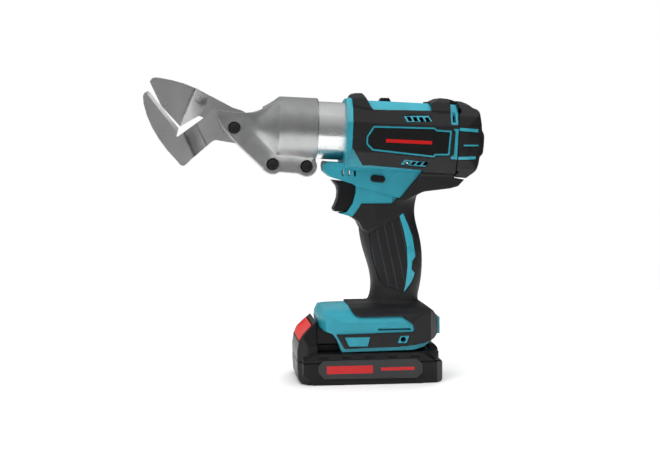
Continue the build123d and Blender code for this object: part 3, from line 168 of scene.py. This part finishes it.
def finish(name, colour, roughness, grain, patch=14.0, spread=0.06, gloss_spread=0.06, **shader):
    """A surface whose colour and gloss drift a little in patches, under a fine grain.

    grain is (size, height, stretch): millimetres across one grain, millimetres of relief, and
    how many times longer the grain runs along each axis. patch is in millimetres.
    """
    size, height, stretch = grain
    material = bpy.data.materials.new(name)
    material.use_nodes = True
    tree = material.node_tree
    principled = tree.nodes["Principled BSDF"]
    place = add(tree, "TexCoord").outputs["Object"]
    drift = add(tree, "TexNoise", inputs={"Vector": place, "Scale": 1 / (patch * MM), "Detail": 3.0})
    tint = add(tree, "ValToRGB", inputs={"Fac": drift.outputs["Fac"]})
    tint.color_ramp.elements[0].position = 0.3
    tint.color_ramp.elements[0].color = shade(colour, 1 - spread)
    tint.color_ramp.elements[1].position = 0.7
    tint.color_ramp.elements[1].color = shade(colour, 1 + spread)
    gloss = add(tree, "MapRange", inputs={"Value": drift.outputs["Fac"], "From Min": 0.3, "From Max": 0.7,
                                          "To Min": roughness - gloss_spread,
                                          "To Max": roughness + gloss_spread})
    # The grain lies square to the leaning barrel.
    lined = add(tree, "Mapping", inputs={"Vector": place, "Rotation": (0.0, -BARREL_TILT, 0.0),
                                         "Scale": tuple(1 / (size * MM * run) for run in stretch)})
    relief = add(tree, "TexNoise", inputs={"Vector": lined.outputs["Vector"], "Scale": 1.0, "Detail": 2.0})
    bump = add(tree, "Bump", inputs={"Height": relief.outputs["Fac"], "Distance": height * MM,
                                     "Strength": 1.0})
    tree.links.new(tint.outputs["Color"], principled.inputs["Base Color"])
    tree.links.new(gloss.outputs["Result"], principled.inputs["Roughness"])
    tree.links.new(bump.outputs["Normal"], principled.inputs["Normal"])
    for socket, value in shader.items():
        principled.inputs[socket.replace("_", " ")].default_value = value
    return material


# How many times longer the grain runs along X, Y and Z of the barrel.
EVEN = (1, 1, 1)
ALONG_BLADE = (30, 1, 2)
AROUND_BARREL = (1, 60, 60)


def material(name):
    """The named finish, made the first time it is asked for."""
    return bpy.data.materials.get(name) or FINISHES[name](name)


def spark_textured_nylon(name):
    """Glass-filled nylon 6, injection moulded in a spark-eroded tool: satin with a fine even grit."""
    # Real spark texture is about 0.1 mm; it is drawn at 0.35 mm so that it still shows.
    return finish(name, colours().nylon, 0.40, (0.35, 0.012, EVEN), Specular_IOR_Level=0.45)


def bright_abs(name):
    """ABS, moulded in a polished tool: cleaner and glossier than the body."""
    return finish(name, colours().accent, 0.30, (0.6, 0.004, EVEN))


def soft_elastomer(name):
    """Thermoplastic elastomer moulded over the nylon: near-black, matt, slightly leathery."""
    return finish(name, colours().rubber, 0.52, (0.4, 0.02, EVEN), spread=0.10, Specular_IOR_Level=0.4)


def ribbed_elastomer(name):
    """The same elastomer in the grip inlays: dulled by handling, with a painted highlight along the tops of
    its moulded ribs.
    """
    made = finish(name, colours().rubber, 0.60, (0.5, 0.03, EVEN), spread=0.12, Specular_IOR_Level=0.35)
    return ribbed(made)


def battery_abs(name):
    """ABS and polycarbonate blend, moulded with a fine leather grain: black with a low sheen."""
    return finish(name, colours().case, 0.38, (0.45, 0.012, EVEN), Specular_IOR_Level=0.25)


def gloss_acrylic(name):
    """Acrylic plate, moulded in a mirror-polished tool: deep black with sharp reflections."""
    return striped(finish(name, colours().plate, 0.16, (3.0, 0.002, EVEN), gloss_spread=0.03), PLATE_STRIPES)


def printed_film(name):
    """Polyester label film with a matt lacquer, printed dark grey with plain stripes."""
    return striped(finish(name, colours().label, 0.38, (0.8, 0.004, EVEN)), LABEL_STRIPES)


def red_abs(name):
    """ABS coloured red in the mass, lightly polished."""
    return finish(name, colours().button, 0.32, (0.6, 0.005, EVEN), spread=0.05)


def black_acetal(name):
    """Acetal, moulded: the slippery black of triggers, sliders and switch parts."""
    return finish(name, linear("#111113"), 0.34, (0.5, 0.008, EVEN), Specular_IOR_Level=0.35)


def turned_aluminium(name):
    """Aluminium 6061, turned on a lathe: bright, with fine rings around the barrel."""
    return finish(name, linear("#E8E9E9"), 0.24, (0.25, 0.004, AROUND_BARREL), spread=0.03, Metallic=1.0,
                  Anisotropic=0.5)


def blasted_casting(name):
    """Die-cast light alloy, shot blasted and then buffed: grey metal with a soft, slightly pitted sheen."""
    return finish(name, colours().casting, 0.36, (0.9, 0.03, EVEN), patch=8.0, spread=0.08, Metallic=1.0)


def ground_blade_steel(name):
    """Hardened tool steel, surface ground along the blade: flat grey with long scratches."""
    return finish(name, colours().blade, 0.30, (0.18, 0.006, ALONG_BLADE), patch=20.0, spread=0.05,
                  Metallic=1.0)


def machined_steel(name):
    """Carbon steel, turned and milled: mid-grey metal with a fine tool finish."""
    return finish(name, linear("#A9A9AB"), 0.30, (0.3, 0.004, AROUND_BARREL), Metallic=1.0)


def blackened_steel(name):
    """High-tensile screw steel, black oxide in oil: nearly black metal with a dark sheen."""
    return finish(name, linear("#4C4C4E"), 0.32, (0.4, 0.01, EVEN), spread=0.15, Metallic=1.0)


def bearing_steel(name):
    """Chrome bearing steel, polished rings: bright and smooth."""
    return finish(name, linear("#C9CACC"), 0.16, (0.5, 0.001, AROUND_BARREL), gloss_spread=0.04, Metallic=1.0)


def stacked_laminations(name):
    """Silicon steel sheets stacked on the shaft: dull grey with a line for each 0.5 mm sheet."""
    return finish(name, linear("#77787C"), 0.45, (0.5, 0.06, AROUND_BARREL), Metallic=1.0)


def enamelled_copper(name):
    """Copper wire under baked enamel: orange-brown, wound in fine parallel turns."""
    return finish(name, linear("#B4602E"), 0.32, (0.5, 0.08, (8, 1, 1)), spread=0.15, Metallic=0.8)


def tinned_brass(name):
    """Brass spring contacts and bushes, stamped or turned: warm yellow metal."""
    return finish(name, linear("#C9A765"), 0.28, (0.4, 0.004, EVEN), Metallic=1.0)


def sintered_ferrite(name):
    """Pressed and fired ferrite or carbon: dull charcoal with a sandy grain."""
    return finish(name, linear("#35363A"), 0.65, (0.4, 0.03, EVEN), spread=0.15)


def clear_lens(name):
    """Polycarbonate lens over the work light: clear and smooth, milky inside."""
    return finish(name, linear("#EEF3F6"), 0.10, (2.0, 0.001, EVEN), gloss_spread=0.03,
                  Transmission_Weight=0.6)


def cell_wrap(name):
    """PVC shrink sleeve around the cells: tight, glossy and green."""
    return finish(name, linear("#2E7D54"), 0.25, (1.5, 0.01, EVEN))


def solder_mask(name):
    """Glass epoxy circuit board under green solder mask."""
    return finish(name, linear("#1E5A36"), 0.30, (1.2, 0.01, EVEN))


def wire_sleeve(name):
    """Silicone sleeve on the power leads: soft dark red."""
    return finish(name, linear("#7E1B1B"), 0.50, (0.5, 0.01, EVEN))


def white_lacquer(name):
    """Matt white lacquered board under the tool: pale, without any reflection."""
    return finish(name, linear("#F7F7F7"), 0.7, (2.0, 0.01, EVEN), spread=0.004, Specular_IOR_Level=0.2)


FINISHES = {function.__name__: function for function in (
    spark_textured_nylon, bright_abs, soft_elastomer, ribbed_elastomer, battery_abs, gloss_acrylic,
    printed_film, red_abs, black_acetal, turned_aluminium, blasted_casting, ground_blade_steel,
    machined_steel, blackened_steel, bearing_steel, stacked_laminations, enamelled_copper,
    tinned_brass, sintered_ferrite, clear_lens, cell_wrap, solder_mask, wire_sleeve, white_lacquer)}

RIB_PITCH = 6.4         # mm between the ribs of a grip inlay
RIB_LEAN = math.radians(11.8)
RIB_HEIGHT = 0.4 * MM
RIB_HIGHLIGHT_GAIN = 5.0          # how many times paler the rib tops are painted: a painted highlight along each rib
PRINT_BLUR = 0.15 * MM  # half the soft edge of a printed bar

# Sockets of the colour Mix node, which share their names with its other kinds.
MIX_BELOW = 6
MIX_ABOVE = 7
MIX_RESULT = 2

# Printed bars: where each starts and ends, as shares of its node's length and then height.
PLATE_STRIPES = {"box": "name_plates", "bars": [(0.22, 0.78, 0.44, 0.56)], "lean": True}
LABEL_STRIPES = {"box": "battery_labels", "bars": [(0.08, 0.52, 0.30, 0.70), (0.60, 0.92, 0.42, 0.58)],
                 "lean": False}


def striped(made, stripes):
    """Adds printed bars to a finish, leaned with the barrel where the node leans."""
    low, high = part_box(stripes["box"])
    span = high - low
    tree = made.node_tree
    principled = tree.nodes["Principled BSDF"]
    place = add(tree, "TexCoord").outputs["Object"]
    if stripes["lean"]:
        centre = (low + high) / 2
        turned = add(tree, "VectorRotate", {"rotation_type": "Y_AXIS"},
                     {"Vector": place, "Center": centre, "Angle": -BARREL_TILT})
        place = turned.outputs["Vector"]
    axes = add(tree, "SeparateXYZ", inputs={"Vector": place})
    ink = None
    for left, right, bottom, top in stripes["bars"]:
        along = band(tree, axes.outputs["X"], low.x + left * span.x, low.x + right * span.x)
        across = band(tree, axes.outputs["Z"], low.z + bottom * span.z, low.z + top * span.z)
        bar = add(tree, "Math", {"operation": "MULTIPLY"}, {0: along, 1: across}).outputs["Value"]
        if ink is not None:
            bar = add(tree, "Math", {"operation": "MAXIMUM"}, {0: ink, 1: bar}).outputs["Value"]
        ink = bar
    base = principled.inputs["Base Color"].links[0].from_socket
    mixed = add(tree, "Mix", {"data_type": "RGBA"},
                {"Factor": ink, MIX_BELOW: base, MIX_ABOVE: shade(colours().print_red, 1)})
    tree.links.new(mixed.outputs[MIX_RESULT], principled.inputs["Base Color"])
    return made


def ribbed(made):
    """Adds narrow upright ribs, leaned back with the grip, to a finish, with a painted highlight on each rib
    top.
    """
    tree = made.node_tree
    principled = tree.nodes["Principled BSDF"]
    place = add(tree, "TexCoord").outputs["Object"]
    leaned = add(tree, "Mapping", inputs={"Vector": place, "Rotation": (0.0, RIB_LEAN, 0.0)})
    # The wave texture runs through one period every pi / 10 units at scale 1.
    wave = add(tree, "TexWave", {"bands_direction": "X"},
               {"Vector": leaned.outputs["Vector"], "Scale": math.pi / (10 * RIB_PITCH * MM)})
    rib = add(tree, "MapRange", inputs={"Value": wave.outputs["Fac"], "From Min": 0.93, "From Max": 1.0})
    under = principled.inputs["Normal"].links[0].from_socket
    raised = add(tree, "Bump", inputs={"Height": rib.outputs["Result"], "Distance": RIB_HEIGHT,
                                       "Normal": under})
    base = principled.inputs["Base Color"].links[0].from_socket
    # Painted highlight: the tops of the ribs are painted paler, as if lit.
    rib_highlight = add(tree, "Mix", {"data_type": "RGBA"},
               {"Factor": rib.outputs["Result"], MIX_BELOW: base,
                MIX_ABOVE: shade(colours().rubber, RIB_HIGHLIGHT_GAIN)})
    tree.links.new(raised.outputs["Normal"], principled.inputs["Normal"])
    tree.links.new(rib_highlight.outputs[MIX_RESULT], principled.inputs["Base Color"])
    return made


def band(tree, value, low, high):
    """1 where a coordinate lies between two limits, with a softly printed edge."""
    middle, half = (low + high) / 2, (high - low) / 2
    away = add(tree, "Math", {"operation": "SUBTRACT"}, {0: value, 1: middle})
    distance = add(tree, "Math", {"operation": "ABSOLUTE"}, {0: away.outputs["Value"]})
    return add(tree, "MapRange", inputs={"Value": distance.outputs["Value"], "From Min": half + PRINT_BLUR,
                                         "From Max": half - PRINT_BLUR}).outputs["Result"]


# ---------------------------------------------------------------- piece helpers


def paint(piece, finish_name):
    """Gives a piece one finish."""
    piece.data.materials.clear()
    piece.data.materials.append(material(finish_name))


WELD_DISTANCE = 0.002 * MM
FLAT_ANGLE = math.radians(1.5)      # faces nearer to flat than this are merged
SHARP_ANGLE = math.radians(28.0)    # edges sharper than this are rounded


def weld_faces(piece):
    """Joins the separate faces of a CAD node into one surface."""
    weld = piece.modifiers.new("join faces", "WELD")
    weld.merge_threshold = WELD_DISTANCE


def round_edges(piece, width):
    """Rounds the sharp edges of a CAD node without touching its own mesh."""
    weld_faces(piece)
    flat = piece.modifiers.new("merge flat faces", "DECIMATE")
    flat.decimate_type = "DISSOLVE"
    flat.angle_limit = FLAT_ANGLE
    bevel = piece.modifiers.new("round edges", "BEVEL")
    bevel.width = width
    bevel.segments = 3
    bevel.limit_method = "ANGLE"
    bevel.angle_limit = SHARP_ANGLE
    normals = piece.modifiers.new("weighted normals", "WEIGHTED_NORMAL")
    normals.keep_sharp = True
    for polygon in piece.data.polygons:
        polygon.use_smooth = True


def machined(names, finish_name, width=None):
    """Turned, stamped or milled nodes: own shape kept, edges lightly broken."""
    for name in names:
        piece = frame["nodes"][name]
        paint(piece, finish_name)
        round_edges(piece, sizes().edge if width is None else width)


def moulded(name, finish_name, grid, passes):
    """A moulding or casting with rounded edges and filled corners, standing for its CAD node."""
    source = frame["nodes"][name]
    piece = bpy.data.objects.new(name + "_moulded", source.data.copy())
    bpy.context.scene.collection.objects.link(piece)
    weld_faces(piece)
    remesh = piece.modifiers.new("grid", "REMESH")
    remesh.mode = "VOXEL"
    remesh.voxel_size = grid
    remesh.use_smooth_shade = True
    smooth = piece.modifiers.new("fillet", "SMOOTH")
    smooth.factor = 0.5
    smooth.iterations = passes
    apply_modifiers(piece)
    paint(piece, finish_name)
    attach(piece, source["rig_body"])
    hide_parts(name)
    return piece


def fill_corners(piece, region, passes):
    """Fills the hollow corners inside a region with soft fillets; ridges keep their shape.

    region gives, for an array of points in metres, how far each may be filled: 0 not at all, 1 fully.
    """
    mesh = piece.data
    points = read_numbers(mesh.vertices, "co", 3)
    normals = read_numbers(mesh.vertex_normals, "vector", 3)
    share = region(points)
    near = share > 0
    first, second = read_numbers(mesh.edges, "vertices", 2, np.int32).T
    kept = near[first] | near[second]
    first, second = first[kept], second[kept]
    neighbours = np.maximum(np.bincount(np.concatenate((first, second)), minlength=len(points)), 1)
    for _ in range(passes):
        total = np.stack([np.bincount(first, points[second, axis], len(points))
                          + np.bincount(second, points[first, axis], len(points))
                          for axis in range(3)], axis=1)
        pull = (total / neighbours[:, None] - points) * near[:, None]
        outward = np.maximum((pull * normals).sum(axis=1), 0)
        points = points + normals * (outward * share)[:, None]
    mesh.vertices.foreach_set("co", points.ravel())
    mesh.update()


def read_numbers(items, name, width, kind=np.float64):
    """One property of every item of a mesh, as rows of an array."""
    numbers = np.empty(len(items) * width, dtype=kind)
    items.foreach_get(name, numbers)
    return numbers.reshape(-1, width)


def ramp(values, start, full):
    """0 before start, 1 past full and a straight rise in between; either may be the larger."""
    return np.clip((values - start) / (full - start), 0, 1)


def in_barrel(points):
    """X, Y and Z in millimetres along the leaning barrel's own axes."""
    x, y, z = points.T / MM
    x, z = x - BARREL_ORIGIN[0], z - BARREL_ORIGIN[1]
    cosine, sine = math.cos(BARREL_TILT), math.sin(BARREL_TILT)
    return x * cosine - z * sine, y, x * sine + z * cosine


def horn_foot(points):
    """Where the head's conical horn and round collar run out into the flat ears."""
    # Millimetres along the barrel's axes; the room left around a screw is measured from its axis.
    x, y, z = in_barrel(points)
    outer_faces = ramp(np.abs(y), 12.0, 12.6)
    between_tip_and_rim = ramp(x, -82, -76) * ramp(x, -20, -22)
    share = outer_faces * between_tip_and_rim
    for screw_x, screw_z in HEAD_SCREWS:
        beside_screw = ramp(np.hypot(x - screw_x, z - screw_z), 4.6, 6.0)
        share = share * beside_screw
    return share


def grip_ends(points):
    """Where the grip spreads into the barrel behind it and into the foot below."""
    # Millimetres; height is negated to bound a region from above.
    x, _, z = points.T / MM
    above = ramp(z, 118, 124) * ramp(x, 20, 26) * ramp(-z, -152, -148)
    below = ramp(-z, -84, -76) * ramp(z, 45, 50)
    return np.maximum(above, below)


def apply_modifiers(piece):
    """Turns a piece's modifiers into its mesh."""
    graph = bpy.context.evaluated_depsgraph_get()
    shaped = bpy.data.meshes.new_from_object(piece.evaluated_get(graph))
    piece.modifiers.clear()
    piece.data = shaped
    for polygon in shaped.polygons:
        polygon.use_smooth = True
    if not shaped.polygons:
        raise RuntimeError(f"{piece.name} came out empty")


# ---------------------------------------------------------------- operators

# Smoothing passes: more passes give larger roundings.
MOULD_PASSES = 4
CAP_PASSES = 5
GRIP_FILL_PASSES = 160
HORN_FILL_PASSES = 200


class SHEAR_OT_housing(bpy.types.Operator):
    """Housing halves with crisp vents and plate frames, and their screws"""
    bl_idname = "shear.housing"
    bl_label = "Housing"

    def execute(self, context):
        machined(["housing_left", "housing_right"], "spark_textured_nylon", sizes().moulded_edge)
        machined(["housing_screws"], "blackened_steel")
        return {"FINISHED"}


class SHEAR_OT_overmould(bpy.types.Operator):
    """Soft armour, ribbed inlays and the grip's accents"""
    bl_idname = "shear.overmould"
    bl_label = "Overmould"

    def execute(self, context):
        for side in ("left", "right"):
            piece = moulded("overmould_" + side, "soft_elastomer", sizes().grid, MOULD_PASSES)
            fill_corners(piece, grip_ends, GRIP_FILL_PASSES)
        machined(["grip_inserts"], "ribbed_elastomer", sizes().edge)
        machined(["grip_accents"], "bright_abs", sizes().edge)
        return {"FINISHED"}


class SHEAR_OT_plates(bpy.types.Operator):
    """Glossy plates in the barrel sides"""
    bl_idname = "shear.plates"
    bl_label = "Name plates"

    def execute(self, context):
        machined(["name_plates"], "gloss_acrylic", 0.3 * MM)
        return {"FINISHED"}


class SHEAR_OT_rear_cap(bpy.types.Operator):
    """Rear cap and its teal bars"""
    bl_idname = "shear.rear_cap"
    bl_label = "Rear cap"

    def execute(self, context):
        moulded("rear_cap", "soft_elastomer", sizes().grid, CAP_PASSES)
        machined(["rear_cap_trim"], "bright_abs", 0.15 * MM)
        return {"FINISHED"}


class SHEAR_OT_controls(bpy.types.Operator):
    """Trigger, direction button, speed slider, switch and work light"""
    bl_idname = "shear.controls"
    bl_label = "Controls"

    def execute(self, context):
        machined(["trigger", "direction_button", "speed_slider"], "black_acetal", sizes().moulded_edge)
        machined(["switch_body", "terminal_block"], "black_acetal")
        machined(["trigger_spring"], "machined_steel", width=0)
        machined(["tool_contacts"], "tinned_brass")
        machined(["lead_wires"], "wire_sleeve", width=0)
        machined(["led_lens"], "clear_lens", 0.15 * MM)
        return {"FINISHED"}


class SHEAR_OT_gearcase(bpy.types.Operator):
    """Turned gearcase tube, gear train and spindle"""
    bl_idname = "shear.gearcase"
    bl_label = "Gearcase"

    def execute(self, context):
        machined(["gearcase", "motor_plate"], "turned_aluminium")
        gears = ["ring_gear", "pinion", "planet_gear_1", "planet_gear_2", "planet_gear_3"]
        machined(gears + ["planet_carrier", "planet_pins", "coupling_sleeve"], "machined_steel", 0.05 * MM)
        machined(["spindle_bearings"], "bearing_steel", 0.1 * MM)
        return {"FINISHED"}


class SHEAR_OT_motor(bpy.types.Operator):
    """Motor with its magnets, armature, commutator, brushes and fan"""
    bl_idname = "shear.motor"
    bl_label = "Motor"

    def execute(self, context):
        machined(["motor_can", "motor_shaft"], "machined_steel")
        machined(["motor_magnets", "motor_brushes"], "sintered_ferrite")
        machined(["motor_end_bell", "cooling_fan"], "black_acetal")
        machined(["armature_core"], "stacked_laminations", 0.1 * MM)
        machined(["armature_windings"], "enamelled_copper", 0.3 * MM)
        machined(["commutator"], "tinned_brass", 0.05 * MM)
        return {"FINISHED"}


class SHEAR_OT_head(bpy.types.Operator):
    """Cast head shells with their screws, pivot and crank"""
    bl_idname = "shear.head"
    bl_label = "Scissor head"

    def execute(self, context):
        for side in ("left", "right"):
            piece = moulded("head_shell_" + side, "blasted_casting", sizes().casting_grid, MOULD_PASSES)
            fill_corners(piece, horn_foot, HORN_FILL_PASSES)
        machined(["clamp_screws", "pivot_screw", "head_nuts"], "blackened_steel")
        machined(["pivot_bush"], "tinned_brass")
        machined(["pivot_washer", "crankshaft"], "machined_steel")
        machined(["crank_bearing", "eccentric_bearing"], "bearing_steel", 0.1 * MM)
        return {"FINISHED"}


class SHEAR_OT_blades(bpy.types.Operator):
    """Fixed and swinging blades with broken edges"""
    bl_idname = "shear.blades"
    bl_label = "Blades"

    def execute(self, context):
        machined(["upper_blade", "lower_blade"], "ground_blade_steel", 0.3 * MM)
        return {"FINISHED"}


class SHEAR_OT_battery(bpy.types.Operator):
    """Battery shells, labels, release button and what they hold"""
    bl_idname = "shear.battery"
    bl_label = "Battery"

    def execute(self, context):
        moulded("battery_upper_case", "battery_abs", sizes().grid, MOULD_PASSES)
        moulded("battery_lower_case", "battery_abs", sizes().grid, MOULD_PASSES)
        machined(["battery_labels"], "printed_film", 0.2 * MM)
        machined(["release_button"], "red_abs", sizes().moulded_edge)
        machined(["battery_cells"], "cell_wrap")
        machined(["battery_board"], "solder_mask", 0.1 * MM)
        machined(["battery_contacts"], "tinned_brass", 0.1 * MM)
        machined(["battery_screws"], "machined_steel")
        return {"FINISHED"}


class SHEAR_OT_stage(bpy.types.Operator):
    """Pale floor, soft studio light and the camera"""
    bl_idname = "shear.stage"
    bl_label = "Studio"

    def execute(self, context):
        studio_floor()
        studio_lights()
        studio_world()
        studio_camera()
        return {"FINISHED"}


# ---------------------------------------------------------------- studio

def studio_floor():
    """Large pale floor under the battery."""
    half = sizes().floor_half
    mesh = bpy.data.meshes.new("studio_floor")
    mesh.from_pydata([(-half, -half, 0), (half, -half, 0), (half, half, 0), (-half, half, 0)],
                     [], [(0, 1, 2, 3)])
    floor = bpy.data.objects.new("studio_floor", mesh)
    bpy.context.scene.collection.objects.link(floor)
    paint(floor, "white_lacquer")
    floor.location.z = CAD_BOX[0][2] - 0.05 * MM


def softbox(name, place, aim, size, watts, mirrored=False):
    """Square soft light aimed at a point; only a mirrored one shows in glossy surfaces."""
    lamp = bpy.data.lights.new(name, "AREA")
    lamp.energy = watts
    lamp.size = size
    light = bpy.data.objects.new(name, lamp)
    light.location = place
    light.rotation_euler = (Vector(aim) - Vector(place)).to_track_quat("-Z", "Y").to_euler()
    light.visible_glossy = mirrored
    bpy.context.scene.collection.objects.link(light)


def studio_lights():
    """Overhead box, front box at the left, one behind and a small one that flashes in the bevels."""
    aim = (-0.03, 0, 0.12)
    softbox("light_top", (-0.1, -0.15, 1.3), aim, 1.1, 14)
    softbox("light_front", (-1.0, -1.2, 0.8), aim, 0.8, 7)
    softbox("light_back", (0.5, 1.1, 0.9), aim, 0.9, 9)
    softbox("light_bevels", (0.48, -0.17, 0.90), (-0.15, 0, 0.18), 0.5, 1.3, mirrored=True)


def studio_world():
    """Grey walls, darker to the right, under a paler ceiling; the backdrop itself is plain white."""
    world = bpy.data.worlds.new("studio")
    bpy.context.scene.world = world
    world.use_nodes = True
    tree = world.node_tree
    tree.nodes.clear()
    seen = add(tree, "Background", inputs={"Color": (1, 1, 1, 1), "Strength": 1.0})
    direction = add(tree, "SeparateXYZ", inputs={"Vector": add(tree, "TexCoord").outputs["Generated"]})
    height = add(tree, "MapRange", inputs={"Value": direction.outputs["Z"], "From Min": 0.2, "From Max": 0.95,
                                           "To Min": 0.30, "To Max": 0.75})
    wall = add(tree, "MapRange", inputs={"Value": direction.outputs["X"], "From Min": 0.1, "From Max": 0.5,
                                         "To Min": 1.0, "To Max": 0.1})
    strength = add(tree, "Math", {"operation": "MULTIPLY"}, {0: height.outputs["Result"],
                                                             1: wall.outputs["Result"]})
    lighting = add(tree, "Background", inputs={"Color": (1, 1, 1, 1), "Strength": strength.outputs["Value"]})
    path = add(tree, "LightPath")
    mix = add(tree, "MixShader", inputs={"Fac": path.outputs["Is Camera Ray"],
                                         1: lighting.outputs["Background"], 2: seen.outputs["Background"]})
    add(tree, "OutputWorld", inputs={"Surface": mix.outputs["Shader"]})


CAMERA_AIM = Vector((-0.0294, 0, 0.1196))
CAMERA_DISTANCE = 1.1
CAMERA_AZIMUTH = math.radians(-6.0)
CAMERA_ELEVATION = math.radians(4.0)
CAMERA_ROLL = math.radians(-0.3)


def studio_camera():
    """Long lens from the tool's left, a little above the middle."""
    camera_data = bpy.data.cameras.new("camera")
    camera_data.lens = 76.9
    camera_data.sensor_width = 36
    camera_data.clip_end = 30
    camera = bpy.data.objects.new("camera", camera_data)
    back = Vector((math.sin(CAMERA_AZIMUTH) * math.cos(CAMERA_ELEVATION),
                   -math.cos(CAMERA_AZIMUTH) * math.cos(CAMERA_ELEVATION), math.sin(CAMERA_ELEVATION)))
    camera.location = CAMERA_AIM + CAMERA_DISTANCE * back
    turn = (-back).to_track_quat("-Z", "Y").to_matrix() @ Euler((0, 0, CAMERA_ROLL)).to_matrix()
    camera.rotation_euler = turn.to_euler()
    bpy.context.scene.collection.objects.link(camera)
    bpy.context.scene.camera = camera
    bpy.context.scene.view_settings.view_transform = "Standard"


# ---------------------------------------------------------------- panel and registration

class SHEAR_PT_panel(bpy.types.Panel):
    """Sidebar panel with every step of the tool"""
    bl_idname = "SHEAR_PT_panel"
    bl_label = "Cordless Shear"
    bl_space_type = "VIEW_3D"
    bl_region_type = "UI"
    bl_category = "Shear"

    def draw(self, context):
        for group in (context.scene.shear_colours, context.scene.shear_sizes):
            box = self.layout.box()
            for name in group.__annotations__:
                box.prop(group, name)
        for operator in STEPS:
            self.layout.operator(operator.bl_idname)


STEPS = (SHEAR_OT_housing, SHEAR_OT_overmould, SHEAR_OT_plates, SHEAR_OT_rear_cap, SHEAR_OT_controls,
         SHEAR_OT_gearcase, SHEAR_OT_motor, SHEAR_OT_head, SHEAR_OT_blades, SHEAR_OT_battery,
         SHEAR_OT_stage)
CLASSES = (ShearColours, ShearSizes) + STEPS + (SHEAR_PT_panel,)


def register():
    """Adds the classes and the scene's settings."""
    for cls in CLASSES:
        bpy.utils.register_class(cls)
    bpy.types.Scene.shear_colours = PointerProperty(type=ShearColours)
    bpy.types.Scene.shear_sizes = PointerProperty(type=ShearSizes)


def unregister():
    """Removes what register added."""
    del bpy.types.Scene.shear_sizes
    del bpy.types.Scene.shear_colours
    for cls in reversed(CLASSES):
        bpy.utils.unregister_class(cls)


def main():
    """Runs every step in order."""
    register()
    for operator in STEPS:
        group, name = operator.bl_idname.split(".")
        getattr(getattr(bpy.ops, group), name)()


if __name__ == "__main__":
    main()
